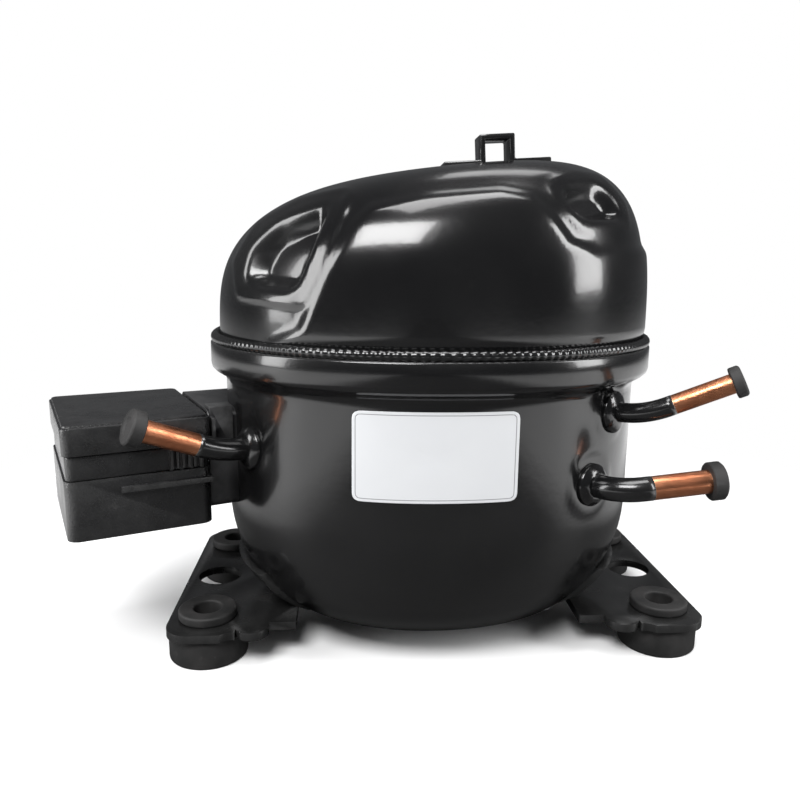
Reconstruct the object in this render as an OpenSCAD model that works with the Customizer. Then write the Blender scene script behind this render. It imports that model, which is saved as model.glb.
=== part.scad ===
// Hermetic reciprocating compressor: a welded oval shell on two mounting plates, with a
// spring-hung motor and Scotch-yoke pump inside and a clip-on electrical box outside.
// Millimetres. +X points to the suction and discharge side, +Z up, origin on the floor
// at the centre of the four mounting bolts.

/* [Mounting] */
// Bolt spacing along the shell
bolt_x = 170; // [168:0.5:172]
// Bolt spacing across the shell
bolt_y = 70; // [68:0.5:72]
// Radius of the bore in each rubber grommet
grommet_bore = 5; // [4.6:0.1:5.4]
// Height of the underside of the mounting plates
plate_z = 11.1; // [11:0.1:11.3]
// Sheet thickness of the mounting plates
plate_t = 3; // [2.8:0.1:3.2]

/* [Shell] */
// Exponent of the oval outline, 2 being an ellipse
oval_power = 2.15; // [2.1:0.05:2.2]
// Half length of the shell body
body_a = 78.3; // [78:0.1:79]
// Half depth of the shell body
body_b = 67.7; // [67:0.1:68]
// Sideways offset of the shell from the bolt centre
shell_x = -1.6; // [-2:0.1:-1]
// Wall thickness of both shell halves
wall = 3; // [2.8:0.1:3.2]
// Height of the shell's underside
shell_z = 9; // [8.5:0.1:9.5]
// Height of the top edge of the lower half's collar
rim_z = 113.5; // [113:0.1:114]
// Rise of the lid above the seam at its middle
lid_rise = 63; // [62:0.5:64]
// Extra rise of the lid from the middle to its right end
lid_slope = 10; // [8:0.5:11]

/* [Tubes] */
// Outer diameter of the suction tube
suction_d = 8; // [7.9:0.1:8.2]
// Outer diameter of the discharge tube
discharge_d = 6.6; // [6.4:0.1:6.8]
// Outer diameter of the process tube
process_d = 7.6; // [7.4:0.1:8]
// Wall thickness of all three tubes
tube_wall = 0.9; // [0.8:0.1:1]

/* [Pump] */
// Cylinder bore
bore_d = 27; // [26.8:0.1:27.2]
// Crank throw, which is half of the stroke
throw = 8; // [7.8:0.1:8]
// Height of the cylinder axis
axis_z = 137; // [137:0.1:137.2]
// Radial running clearance of shafts, pins and pistons
run = 0.03; // [0.02:0.01:0.05]

/* [Motor] */
// Underside of the stator stack
stator_z = 46; // [46:0.1:46.5]
// Height of the stator stack
stack_h = 48; // [47:0.5:48]
// Radius of the stator bore
stator_bore = 28.7; // [28.6:0.05:28.8]
// Air gap between rotor and stator
air_gap = 0.5; // [0.4:0.05:0.6]
// Number of stator slots
slot_count = 24; // [24]

/* [Electrical box] */
// Turn of the box about the vertical axis
box_turn = 24; // [23:0.5:25]
// Size of the box outwards from the shell
box_u = 47.4; // [47:0.2:48]
// Size of the box along the shell
box_v = 58; // [57:0.5:58]
// Top of the box
box_top = 91; // [90.5:0.1:91.2]
// Underside of the box
box_bottom = 52.5; // [52:0.5:53]

/* [Hidden] */
$fn = 48;
black_paint = [0.07, 0.07, 0.07];
rubber = [0.12, 0.12, 0.12];
copper = [0.78, 0.47, 0.32];
steel = [0.62, 0.63, 0.65];
iron = [0.38, 0.38, 0.4];
plastic = [0.16, 0.16, 0.17];
cream = [0.86, 0.83, 0.74];

// Heights and offsets of the shell
ring_points = 56;
bend_h = 46;
bend_w = 38;
lid_out = 1.9;
collar_out = 5.4;
seam_z = 113;
lid_power = 3.5;
lid_steps = [1, 0.998, 0.985, 0.96, 0.92, 0.86, 0.78, 0.67, 0.53, 0.36, 0.18, 0.03];
end_gap = 0.3;

// Heights of the pump and motor
stator_top = stator_z + stack_h;
rotor_r = stator_bore - air_gap;
shaft_r = 9;
pin_r = 6.5;
deck_z = 108;
deck_t = 8;
web_z = deck_z + deck_t + 1;
bolt_at = [40, 33];
tdc_gap = 0.4;
piston_face = 44;
bore_end = piston_face + throw + tdc_gap;
yoke_r = 13;
block_r = 10;

// Places of the tubes: where each leaves the shell, its first way and its end way
suction_at = [49.9, -53.1, 68.5];
suction_out = [0.576, -0.817, 0.05];
suction_way = [33.3, -1, 4];
discharge_at = [58.1, -46.2, 92.6];
discharge_out = [0.7, -0.71, 0.07];
discharge_way = [26, -10.5, 13.2];
process_at = [-67.6, -39.1, 78.6];
process_out = [-0.79, -0.61, 0.09];
process_way = [-22.5, -13, 10.5];

// Place of the electrical box: on the shell surface, along its own outward way
box_at = [-79, -9, 0];
box_gap = 14;
pin_z = 73;

function unit(v) = v / norm(v);
function signed_power(v, e) = sign(v) * pow(abs(v), e);
function oval_point(a, b, t) =
    [a * signed_power(cos(t), 2 / oval_power), b * signed_power(sin(t), 2 / oval_power)];
function oval_ring(a, b, z, k = 1) =
    [for (i = [0 : ring_points - 1])
        let (p = oval_point(a, b, 360 * i / ring_points)) [p[0] * k, p[1] * k, z]];
// Share of the full outline reached at an angle of the rounded bottom
function bottom_share(t) = 1 - (bend_w / body_a) * (1 - sin(t));
function bottom_height(t) = shell_z + bend_h * (1 - cos(t));
function lid_height(x, k, inset) =
    let (u = x / 80, d = lid_rise + lid_slope * u + 3.5 * pow(u, 3) - inset)
    seam_z + d * pow(max(0, 1 - pow(k, lid_power)), 1 / lid_power);
function lid_ring(k, inset) =
    [for (i = [0 : ring_points - 1])
        let (p = oval_point(body_a + lid_out - inset, body_b + lid_out - inset,
                            360 * i / ring_points) * k)
        [p[0], p[1], lid_height(k < 0.05 ? 0 : p[0], k, inset)]];
function reversed(v) = [for (i = [len(v) - 1 : -1 : 0]) v[i]];

// Solid between stacked rings of equal length, closed flat at both ends
module skin(rings) {
    n = len(rings[0]);
    last = len(rings) - 1;
    sides = [for (k = [0 : last - 1]) for (i = [0 : n - 1]) for (half = [0, 1])
        half == 0 ? [k * n + i, (k + 1) * n + i, (k + 1) * n + (i + 1) % n]
                  : [k * n + i, (k + 1) * n + (i + 1) % n, k * n + (i + 1) % n]];
    polyhedron(
        points = [for (ring = rings) for (p = ring) p],
        faces = concat(sides, [[for (i = [0 : n - 1]) i]],
                       [[for (i = [n - 1 : -1 : 0]) last * n + i]]),
        convexity = 6);
}

// Closed loop of equal sections, such as a bead that runs right round
module loop_skin(sections) {
    n = len(sections[0]);
    count = len(sections);
    polyhedron(
        points = [for (s = sections) for (p = s) p],
        faces = [for (k = [0 : count - 1]) for (i = [0 : n - 1]) for (half = [0, 1])
            let (next = ((k + 1) % count) * n, j = (i + 1) % n)
            half == 0 ? [k * n + i, k * n + j, next + j] : [k * n + i, next + j, next + i]],
        convexity = 8);
}

// Round tube or wire swept along points whose way is never straight up
module sweep(points, r, sides) {
    skin(path_rings(points, r, sides));
}

// Turns +Z into the given way and moves to a place
module along(place, way) {
    w = unit(way);
    translate(place)
        rotate([0, acos(w[2]), atan2(w[1], w[0])])
            children();
}

// Places children in the box's own frame: x outwards, y along the shell, z up
module box_frame() {
    translate(box_at)
        rotate([0, 0, 180 + box_turn])
            children();
}

// Points along two straight lengths joined by one smooth bend
function bent_path(from, way_1, length_1, way_2, length_2, bend_r) =
    let (a = unit(way_1), b = unit(way_2), turn = acos(a * b), trim = bend_r * tan(turn / 2),
         corner = from + a * length_1, inward = cross(unit(cross(a, b)), a),
         centre = corner - a * trim + inward * bend_r)
    concat([from],
           [for (t = [0 : turn / 5 : turn * 1.001])
               centre + bend_r * (sin(t) * a - cos(t) * inward)],
           [corner + b * length_2]);

// Rounded rectangle made of true arcs
module round_rect(x, y, r) {
    square([x - 2 * r, y], center = true);
    square([x, y - 2 * r], center = true);
    for (i = [-1, 1]) for (j = [-1, 1])
        translate([i * (x / 2 - r), j * (y / 2 - r)]) circle(r = r);
}

module round_block(x, y, h, r) {
    linear_extrude(height = h) round_rect(x, y, r);
}

// ---- Shell ----

module tube_holes() {
    along(suction_at - 9 * suction_out, suction_out) cylinder(h = 18, r = suction_d / 2 + 1.6);
    along(discharge_at - 9 * discharge_out, discharge_out)
        cylinder(h = 18, r = discharge_d / 2 + 1.6);
    along(process_at - 9 * process_out, process_out) cylinder(h = 18, r = process_d / 2 + 1.6);
    box_frame() translate([-16, 0, pin_z]) rotate([0, 90, 0]) cylinder(h = 26, r = cup_r + 0.2);
}

module lower_shell() {
    bend = [0 : 15 : 75];
    color(black_paint) difference() {
        translate([shell_x, 0, 0]) skin(concat(
            [for (t = bend) oval_ring(body_a, body_b, bottom_height(t), bottom_share(t))],
            [for (s = [[0, 55], [0, 99], [1.2, 101.5], [4.2, 103.4], [collar_out, 105.6],
                       [collar_out, rim_z], [collar_out - wall, rim_z],
                       [collar_out - wall, 106.8], [0.2, 104.2], [-2.4, 101.8], [-wall, 99.5],
                       [-wall, 55]])
                oval_ring(body_a + s[0], body_b + s[0], s[1])],
            reversed([for (t = bend)
                oval_ring(body_a - wall, body_b - wall, bottom_height(t) + wall * cos(t),
                          bottom_share(t))])));
        tube_holes();
    }
}

module upper_shell() {
    a = body_a + lid_out;
    b = body_b + lid_out;
    skirt_z = 107.6;
    color(black_paint) translate([shell_x, 0, 0]) skin(concat(
        reversed([for (k = lid_steps) lid_ring(k, wall)]),
        [oval_ring(a - wall, b - wall, skirt_z), oval_ring(a, b, skirt_z)],
        [for (k = lid_steps) lid_ring(k, 0)]));
}

module weld_seam() {
    bead = [[lid_out - 0.2, rim_z - 0.25], [lid_out - 0.2, rim_z + 3.4], [3.7, rim_z + 2.9],
            [4.9, rim_z + 1.6], [collar_out - 0.1, rim_z - 0.25]];
    color(black_paint) translate([shell_x, 0, 0]) loop_skin(
        [for (i = [0 : ring_points - 1]) [for (s = bead)
            let (p = oval_point(body_a + s[0], body_b + s[0], 360 * i / ring_points))
            [p[0], p[1], s[1]]]]);
}

module lid_bracket() {
    strap_t = 2;
    strap_w = 12;
    tab = 13.5;
    inner = 13;
    rise = 11;
    profile = [[-inner / 2 - tab, 0], [-inner / 2 + strap_t, 0], [-inner / 2 + strap_t, rise - strap_t],
               [inner / 2 - strap_t, rise - strap_t], [inner / 2 - strap_t, 0], [inner / 2 + tab, 0],
               [inner / 2 + tab, strap_t], [inner / 2, strap_t], [inner / 2, rise],
               [-inner / 2, rise], [-inner / 2, strap_t], [-inner / 2 - tab, strap_t]];
    color(black_paint) translate([22, -4, 178.2]) rotate([90, -3.6, 0])
        linear_extrude(height = strap_w, center = true) polygon(profile);
}

// ---- Mounting plates and grommets ----

// Outline of the left plate; shift is the shell's sideways offset as the plate sees it
module plate_outline(shift) {
    outer = 98.5;
    front = 50.5;
    corner = 9;
    difference() {
        union() {
            translate([-outer, -front + corner]) square([46, 2 * (front - corner)]);
            translate([-outer + corner, -front]) square([16, 2 * front]);
            for (j = [-1, 1]) {
                translate([-outer + corner, j * (front - corner)]) circle(r = corner);
                translate([-68, j * 43.5]) circle(r = 6);
            }
        }
        for (j = [-1, 1]) {
            translate([-bolt_x / 2, j * bolt_y / 2]) circle(r = 8.5);
            translate([-74, j * 54]) circle(r = 5.6);
        }
        translate([-86.4, 0]) circle(r = 8.5);
        translate([shift, 0])
            polygon([for (p = oval_ring(body_a, body_b, 0, 1.01 * bottom_share(27.5))) [p[0], p[1]]]);
    }
}

// Flange that rises from a plate and follows the rounded underside of the shell
module weld_flange(shift) {
    spread = 34;
    steps = 12;
    tilt = [20, 30, 40, 50, 58];
    clear = 1.002;
    thick = 1.045;
    translate([shift, 0, 0]) skin([for (i = [0 : steps])
        let (t = 180 - spread + 2 * spread * i / steps, p = oval_point(body_a, body_b, t))
        concat(
            [for (s = tilt) [p[0] * bottom_share(s) * clear, p[1] * bottom_share(s) * clear,
                             bottom_height(s)]],
            reversed([for (s = tilt) [p[0] * bottom_share(s) * thick,
                                      p[1] * bottom_share(s) * thick, bottom_height(s)]]))]);
}

module base_plate_left() {
    color(black_paint) {
        translate([0, 0, plate_z]) linear_extrude(height = plate_t) plate_outline(shell_x);
        weld_flange(shell_x);
    }
}

module base_plate_right() {
    color(black_paint) {
        translate([0, 0, plate_z]) mirror([1, 0, 0])
            linear_extrude(height = plate_t) plate_outline(-shell_x);
        mirror([1, 0, 0]) weld_flange(-shell_x);
    }
}

module grommet(x, y) {
    top = plate_z + plate_t;
    color(rubber) translate([x, y, 0]) rotate_extrude()
        polygon([[grommet_bore, 0], [12.6, 0], [14.2, 2.4], [14.2, plate_z - 1.2],
                 [13, plate_z - 0.02], [8.4, plate_z - 0.02], [8.4, top + 0.02],
                 [10.5, top + 0.02], [10.5, top + 2.2], [9, top + 3.5], [grommet_bore, top + 3.5]]);
}

module grommet_front_left() { grommet(-bolt_x / 2, -bolt_y / 2); }
module grommet_front_right() { grommet(bolt_x / 2, -bolt_y / 2); }
module grommet_rear_left() { grommet(-bolt_x / 2, bolt_y / 2); }
module grommet_rear_right() { grommet(bolt_x / 2, bolt_y / 2); }

// ---- Tubes, collars and plugs ----

tube_inside = 6;
tube_straight = 12;
stem_h = 8;

function tube_corner(at, out) = at + unit(out) * tube_straight;
function tube_end(at, out, way, length) = tube_corner(at, out) + unit(way) * length;

// Rings round a path, at one radius
function path_rings(path, r, sides) =
    let (last = len(path) - 1)
    [for (k = [0 : last])
        let (way = unit(path[min(k + 1, last)] - path[max(k - 1, 0)]),
             side = unit(cross(way, [0, 0, 1])), up = cross(side, way))
        [for (i = [0 : sides - 1])
            path[k] + r * (cos(-360 * i / sides) * side + sin(-360 * i / sides) * up)]];

// Bent painted length with a true round copper end
module tube(at, out, way, length, d, bend_r) {
    sleeve = 19;
    lap = 3;
    shrink = 0.15;
    path = bent_path(at - unit(out) * tube_inside, out, tube_inside + tube_straight, way,
                     length - sleeve + lap, bend_r);
    loop_skin(reversed(concat(path_rings(path, d / 2 - shrink, 16),
                              reversed(path_rings(path, d / 2 - tube_wall + shrink, 16)))));
    along(tube_end(at, out, way, length - sleeve), way) difference() {
        cylinder(h = sleeve, r = d / 2);
        translate([0, 0, -1]) cylinder(h = sleeve + 2, r = d / 2 - tube_wall);
    }
}

module collar(at, out, d) {
    flange = 7.4;
    color(black_paint) along(at, out) rotate_extrude()
        polygon([[d / 2, -4], [d / 2 + 1.5, -4], [d / 2 + 1.5, -0.4], [flange, -0.4],
                 [flange, 0.9], [flange - 1.2, 2], [d / 2 + 1.4, 2.6], [d / 2, 3]]);
}

module plug(at, out, way, length, d, head_r, head_h) {
    stem_r = d / 2 - tube_wall - 0.05;
    color(rubber) along(tube_end(at, out, way, length), way) rotate_extrude()
        polygon([[0, -stem_h], [stem_r - 0.6, -stem_h], [stem_r, -stem_h + 1], [stem_r, 0.02],
                 [head_r - 0.3, 0.02], [head_r, 0.4], [head_r, head_h - 0.6],
                 [head_r - 0.6, head_h], [head_r * 0.55, head_h], [head_r * 0.45, head_h - 0.5],
                 [0, head_h - 0.5]]);
}

module suction_tube() {
    color(copper) tube(suction_at, suction_out, suction_way, 29, suction_d, 9);
}
module discharge_tube() {
    color(copper) tube(discharge_at, discharge_out, discharge_way, 28.4, discharge_d, 12);
}
module process_tube() {
    color(copper) tube(process_at, process_out, process_way, 27, process_d, 16);
}
module suction_collar() { collar(suction_at, suction_out, suction_d); }
module discharge_collar() { collar(discharge_at, discharge_out, discharge_d); }
module process_collar() { collar(process_at, process_out, process_d); }
module suction_plug() {
    plug(suction_at, suction_out, suction_way, 29, suction_d, 6.4, 4.4);
}
module discharge_plug() {
    plug(discharge_at, discharge_out, discharge_way, 28.4, discharge_d, 5.2, 3.6);
}
module process_plug() {
    plug(process_at, process_out, process_way, 27, process_d, 6.1, 4.6);
}

module blank_label() {
    label_from = 248.8;
    label_to = 285.2;
    low = 67.4;
    high = 97.1;
    steps = 14;
    color([0.85, 0.85, 0.86]) translate([shell_x, 0, 0]) skin([for (i = [0 : steps])
        let (t = label_from + (label_to - label_from) * i / steps,
             p = oval_point(body_a, body_b, t))
        [[p[0] * 1.0018, p[1] * 1.0018, low], [p[0] * 1.0018, p[1] * 1.0018, high],
         [p[0] * 1.0065, p[1] * 1.0065, high], [p[0] * 1.0065, p[1] * 1.0065, low]]]);
}

// ---- Hermetic terminal and electrical box ----

cup_r = 15.5;
cup_face = 5;
pin_long = 21;
pin_radius = 1.6;
pin_circle = 7;
fence_u = 13.4;
inner_face = box_gap;

module at_pins() {
    for (t = [30, 150, 270])
        translate([0, pin_circle * cos(t), pin_z + pin_circle * sin(t)])
            rotate([0, 90, 0]) children();
}

module terminal_cup() {
    color(steel) box_frame() difference() {
        translate([-9, 0, pin_z]) rotate([0, 90, 0]) difference() {
            cylinder(h = 9 + cup_face, r = cup_r);
            translate([0, 0, -1]) cylinder(h = 7.6 + cup_face, r = cup_r - 2.2);
        }
        translate([-12, 0, 0]) at_pins() cylinder(h = 30, r = 3.2);
    }
}

module terminal_glass() {
    color([0.15, 0.3, 0.45]) box_frame() translate([cup_face - 2.4, 0, 0]) at_pins()
        rotate_extrude() polygon([[pin_radius, -0.8], [2.6, -0.8], [3.2, 0], [3.2, 2.4],
                                  [2.4, 3.4], [pin_radius, 3.8]]);
}

module terminal_pins() {
    color(steel) box_frame() translate([-5, 0, 0]) at_pins()
        cylinder(h = pin_long + 5, r = pin_radius);
}

module terminal_fence() {
    fence_v = 44;
    fence_h = 36;
    sheet = 1.5;
    color(black_paint) difference() {
        box_frame() translate([-12, 0, pin_z]) rotate([90, 0, 90]) difference() {
            round_block(fence_v, fence_h, 12 + fence_u, 4);
            translate([0, 0, -1])
                round_block(fence_v - 2 * sheet, fence_h - 2 * sheet, 14 + fence_u, 2.6);
            translate([-20, -4, 7]) rotate([0, -90, 0]) cylinder(h = 6, r = 2.05);
        }
        translate([shell_x, 0, 0])
            skin([oval_ring(body_a, body_b, 40), oval_ring(body_a, body_b, 98)]);
    }
}

module earth_screw() {
    color([0.75, 0.62, 0.25]) box_frame() translate([-5, -22.05, pin_z - 4]) rotate([90, 0, 0]) {
        difference() {
            cylinder(h = 2.6, r = 4);
            translate([0, 0, 2]) cube([6.4, 1, 2], center = true);
            translate([0, 0, 2]) cube([1, 6.4, 2], center = true);
        }
        translate([0, 0, -5]) cylinder(h = 5.5, r = 2);
    }
}

module box_clip() {
    color(steel) box_frame() translate([0, 22.02, 0]) {
        translate([5, 0, 76]) cube([8.2, 1.4, 16.42]);
        translate([5, -6, 91.02]) cube([8.2, 7, 1.4]);
        translate([11.8, 0, 80]) cube([1.4, 4.4, 9]);
    }
}

module box_block(inset, low, high, r) {
    translate([inner_face + box_u / 2, 0, low])
        round_block(box_u - 2 * inset, box_v - 2 * inset, high - low, r);
}

lid_split = 80.9;
block_split = 72.7;
box_wall = 2;

module box_lid() {
    chamfer = 0.8;
    color(plastic) box_frame() difference() {
        union() {
            box_block(0, lid_split + 0.1, box_top - chamfer, 3);
            box_block(chamfer, lid_split + 0.1, box_top, 2.4);
        }
        box_block(box_wall, lid_split - 1, box_top - box_wall, 1.6);
    }
}

module starter_housing() {
    color(plastic) box_frame() difference() {
        union() {
            box_block(0.8, block_split + 0.1, lid_split - 0.1, 2.6);
            for (i = [0 : 3])
                translate([inner_face + 3 + 3.4 * i, box_v / 2 - 1, block_split + 0.1])
                    cube([1.4, 1, lid_split - block_split - 0.2]);
        }
        box_block(0.8 + box_wall, block_split - 1, lid_split + 1, 1.6);
        translate([inner_face - 1, -14, block_split - 1]) cube([6, 28, 12]);
    }
}

module junction_box() {
    lip = 1.4;
    color(plastic) box_frame() difference() {
        union() {
            box_block(0.2, box_bottom, block_split - 0.1, 4);
            translate([inner_face + 0.2, box_v / 2 - 8, block_split - 5])
                cube([30, 8 + lip, 1.8]);
        }
        box_block(0.2 + box_wall, box_bottom + box_wall, block_split + 1, 3);
        translate([inner_face - 1, -14, box_bottom + 8]) cube([6, 28, 30]);
        translate([inner_face + box_u - 16, -box_v / 2 - 2, box_bottom + 9])
            rotate([-90, 0, 0]) cylinder(h = 8, r = 4.5);
    }
}

module ptc_starter() {
    color(cream) box_frame() difference() {
        union() {
            translate([16.4, -13, 62]) cube([14, 26, 22]);
            translate([30.3, -9, 66]) cube([3, 18, 14]);
        }
        at_pins() cylinder(h = pin_long + 0.6, r = pin_radius + 0.06);
    }
}

module overload_protector() {
    color([0.1, 0.1, 0.1]) box_frame() translate([34, 0, pin_z]) rotate([0, 90, 0]) {
        cylinder(h = 11, r = 12);
        translate([0, 0, 10.9]) cylinder(h = 2, r = 9.5);
        for (j = [-1, 1]) translate([-1, 5 * j - 0.4, 12.8]) cube([6.3, 0.8, 6]);
    }
}

// ---- Suspension ----

module at_bolts() {
    for (i = [-1, 1]) for (j = [-1, 1]) translate([i * bolt_at[0], j * bolt_at[1], 0]) children();
}

module spring_posts() {
    color(steel) at_bolts() {
        translate([0, 0, 14.2]) cylinder(h = 13.8, r = 4.1);
        translate([0, 0, 19.4]) cylinder(h = 1.6, r = 5.2);
    }
}

module suspension_springs() {
    turns = 5;
    per_turn = 12;
    wire_r = 0.8;
    coil_r = 5.2;
    low = 21.9;
    high = 37.1;
    color(steel) at_bolts() sweep([for (i = [0 : turns * per_turn])
        let (t = 360 * i / per_turn)
        [coil_r * cos(t), coil_r * sin(t), low + (high - low) * i / (turns * per_turn)]],
        wire_r, 6);
}

module spring_caps() {
    color(cream) at_bolts() difference() {
        union() {
            translate([0, 0, 38]) cylinder(h = stator_z - 38.1, r = 6.2);
            translate([0, 0, 32]) cylinder(h = 6.2, r = 4.1);
        }
        translate([0, 0, 41.6]) cylinder(h = 6, r = 4.9);
    }
}

// ---- Motor ----

slot_r = 33;
slot_w = 4.2;
slot_h = 9;

module stator_outline() {
    x = 54;
    y = 50;
    cut = 14;
    polygon([[x, y - cut], [x - cut, y], [cut - x, y], [-x, y - cut],
             [-x, cut - y], [cut - x, -y], [x - cut, -y], [x, cut - y]]);
}

module at_slots() {
    for (i = [0 : slot_count - 1]) rotate(i * 360 / slot_count) translate([slot_r, 0]) children();
}

module slot_outline(inset) {
    translate([inset, inset - slot_w / 2]) square([slot_h - inset, slot_w - 2 * inset]);
    translate([slot_h, 0]) circle(r = slot_w / 2 - inset);
}

module stator_core() {
    color(iron) translate([0, 0, stator_z]) linear_extrude(height = stack_h) difference() {
        stator_outline();
        circle(r = stator_bore);
        at_slots() {
            slot_outline(0);
            translate([-6, -0.9]) square([7, 1.8]);
        }
        at_bolts() circle(r = 2.6);
    }
}

module winding_ring(low, high) {
    rotate_extrude() polygon([[slot_r - 1, low], [slot_r + 11, low], [slot_r + 12, low + 2],
                              [slot_r + 11, high - 2.5], [slot_r + 8, high],
                              [slot_r + 1, high], [slot_r - 1.5, high - 3]]);
}

module motor_windings() {
    gap = 0.3;
    end_h = 12;
    color([0.72, 0.38, 0.2]) {
        winding_ring(stator_top + gap, stator_top + end_h);
        translate([0, 0, 2 * stator_z - gap]) mirror([0, 0, 1])
            winding_ring(stator_z, stator_z + end_h);
        translate([0, 0, stator_z - 1]) linear_extrude(height = stack_h + 2)
            at_slots() slot_outline(gap);
    }
}

module stator_bolts() {
    color(steel) at_bolts() {
        translate([0, 0, 41.9]) cylinder(h = stator_z - 41.95, r = 4.2, $fn = 6);
        translate([0, 0, 45.5]) cylinder(h = 66, r = 2.5);
    }
}

module winding_connector() {
    color(cream) translate([-57, -13, stator_top + 1.5]) difference() {
        cube([9, 18, 10]);
        for (j = [0 : 2]) translate([-1, 3.2 + 5.8 * j, 5]) rotate([0, 90, 0])
            cylinder(h = 6, r = 1.4);
    }
}

function curve_point(p, q, r, s, t) =
    0.5 * (2 * q + t * (r - p) + t * t * (2 * p - 5 * q + 4 * r - s)
           + t * t * t * (3 * q - p - 3 * r + s));
// Smooth curve through a list of points, with the given number of steps between each two
function smooth(v, steps) = let (last = len(v) - 1) concat(
    [for (i = [0 : last - 1]) for (j = [0 : steps - 1])
        curve_point(v[max(i - 1, 0)], v[i], v[i + 1], v[min(i + 2, last)], j / steps)],
    [v[last]]);

module inner_leads() {
    color([0.85, 0.85, 0.8]) for (j = [0 : 2])
        sweep(smooth([[-72.4, -6.2 + 3 * (j - 1), 73 + 3 * (1 - j)], [-66, -6 + 4 * (j - 1), 78],
                      [-62, -5.5 + 5 * (j - 1), 90], [-61, -4.4 + 5.8 * (j - 1), 98],
                      [-57.3, -4.2 + 5.8 * (j - 1), 100.6]], 4), 1.1, 6);
}

module rotor_core() {
    color(iron) translate([0, 0, stator_z]) difference() {
        cylinder(h = stack_h, r = rotor_r);
        translate([0, 0, -1]) cylinder(h = stack_h + 2, r = shaft_r + 0.02);
        translate([0, 0, 30]) cylinder(h = stack_h, r = 16.6);
        at_bars() translate([0, 0, -1]) cylinder(h = stack_h + 2, r = bar_r + 0.05);
    }
}

bar_count = 28;
bar_r = 1.5;

module at_bars() {
    for (i = [0 : bar_count - 1])
        rotate(i * 360 / bar_count) translate([rotor_r - 2.8, 0, 0]) children();
}

module rotor_cage() {
    ring_h = 5.4;
    color([0.8, 0.81, 0.83]) {
        for (low = [stator_z - ring_h, stator_top + 0.02]) translate([0, 0, low])
            difference() {
                cylinder(h = ring_h - 0.02, r = rotor_r - 1);
                translate([0, 0, -1]) cylinder(h = ring_h + 2, r = 18);
            }
        translate([0, 0, stator_z - 1]) at_bars() cylinder(h = stack_h + 2, r = bar_r);
    }
}

module counterweight() {
    color(steel) translate([0, 0, stator_top + 5.5]) rotate([0, 0, 195])
        rotate_extrude(angle = 150) translate([18.2, 0]) square([8.6, 5]);
}

// ---- Pump ----

module deck_outline() {
    translate([1, 0]) round_rect(98, 84, 12);
}

module cylinder_block() {
    flange = 38;
    sleeve_r = 18.5;
    bore_start = throw + yoke_r + 0.6;
    color(iron) difference() {
        union() {
            translate([0, 0, deck_z]) linear_extrude(height = deck_t) deck_outline();
            translate([0, 0, 78]) cylinder(h = deck_z - 77, r = 15);
            at_bolts() translate([0, 0, stator_top]) cylinder(h = deck_z - stator_top + 1, r = 5.8);
            translate([bore_start, 0, axis_z]) rotate([0, 90, 0])
                cylinder(h = bore_end - bore_start, r = sleeve_r);
            translate([bore_start, -14, deck_z + 1])
                cube([bore_end - bore_start, 28, axis_z - deck_z - 1]);
            translate([bore_end - 9, 0, axis_z]) rotate([90, 0, 90]) round_block(flange, flange, 9, 5);
        }
        translate([0, 0, 70]) cylinder(h = 60, r = shaft_r + run);
        translate([bore_start - 1, 0, axis_z]) rotate([0, 90, 0])
            cylinder(h = bore_end, r = bore_d / 2);
        at_bolts() translate([0, 0, stator_top - 1]) cylinder(h = 19, r = 2.55);
        at_head_bolts() translate([0, 0, bore_end - 20]) cylinder(h = 30, r = 2.05);
        for (i = [-1, 1]) translate([-30, 22 * i, deck_z - 1]) cylinder(h = deck_t + 2, r = 9);
    }
}

module at_head_bolts() {
    for (i = [-1, 1]) for (j = [-1, 1])
        translate([0, 14.6 * i, axis_z + 14.6 * j]) rotate([0, 90, 0]) children();
}

gasket_t = 0.5;
plate_x = bore_end + gasket_t + 0.3;
valve_t = 2.5;
head_x = plate_x + valve_t + gasket_t + 0.1;
head_t = 7;
port_y = 5;

module gasket(x, window) {
    translate([x, 0, 0]) difference() {
        translate([0, 0, axis_z]) rotate([90, 0, 90]) round_block(38, 38, gasket_t, 5);
        translate([-1, 0, 0]) at_head_bolts() cylinder(h = 5, r = 2.2);
        translate([-1, 0, axis_z]) rotate([0, 90, 0]) cylinder(h = 5, r = window);
    }
}

module head_gaskets() {
    color([0.35, 0.45, 0.4]) {
        gasket(bore_end + 0.02, 15);
        gasket(plate_x + valve_t + 0.05, 16.6);
    }
}

module valve_plate() {
    color(steel) translate([plate_x, 0, 0]) difference() {
        translate([0, 0, axis_z]) rotate([90, 0, 90]) round_block(38, 38, valve_t, 5);
        translate([-1, 0, 0]) at_head_bolts() cylinder(h = 5, r = 2.2);
        translate([-1, port_y, axis_z + 5]) rotate([0, 90, 0]) cylinder(h = 5, r = 3);
        translate([-1, -port_y, axis_z + 4]) rotate([0, 90, 0]) cylinder(h = 5, r = 2.5);
    }
}

reed_root = 126.5;
reed_t = 0.2;

module reed(x, y, top) {
    translate([x, y - 4, reed_root]) cube([reed_t, 8, top - 4 - reed_root]);
    translate([x, y, top - 4]) rotate([0, 90, 0]) cylinder(h = reed_t, r = 4);
}

module suction_reed() {
    color(steel) reed(plate_x - reed_t - 0.05, port_y, axis_z + 9);
}

module discharge_reed() {
    color(steel) reed(plate_x + valve_t + 0.05, -port_y, axis_z + 8);
}

module reed_stop() {
    stop_x = plate_x + valve_t + 2.2;
    color(steel) {
        translate([stop_x, -port_y - 4, 123.5]) cube([1, 8, 21]);
        translate([plate_x + valve_t + 0.02, -port_y - 4, 123.5])
            cube([stop_x - plate_x - valve_t + 0.5, 8, 2.2]);
    }
}

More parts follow.
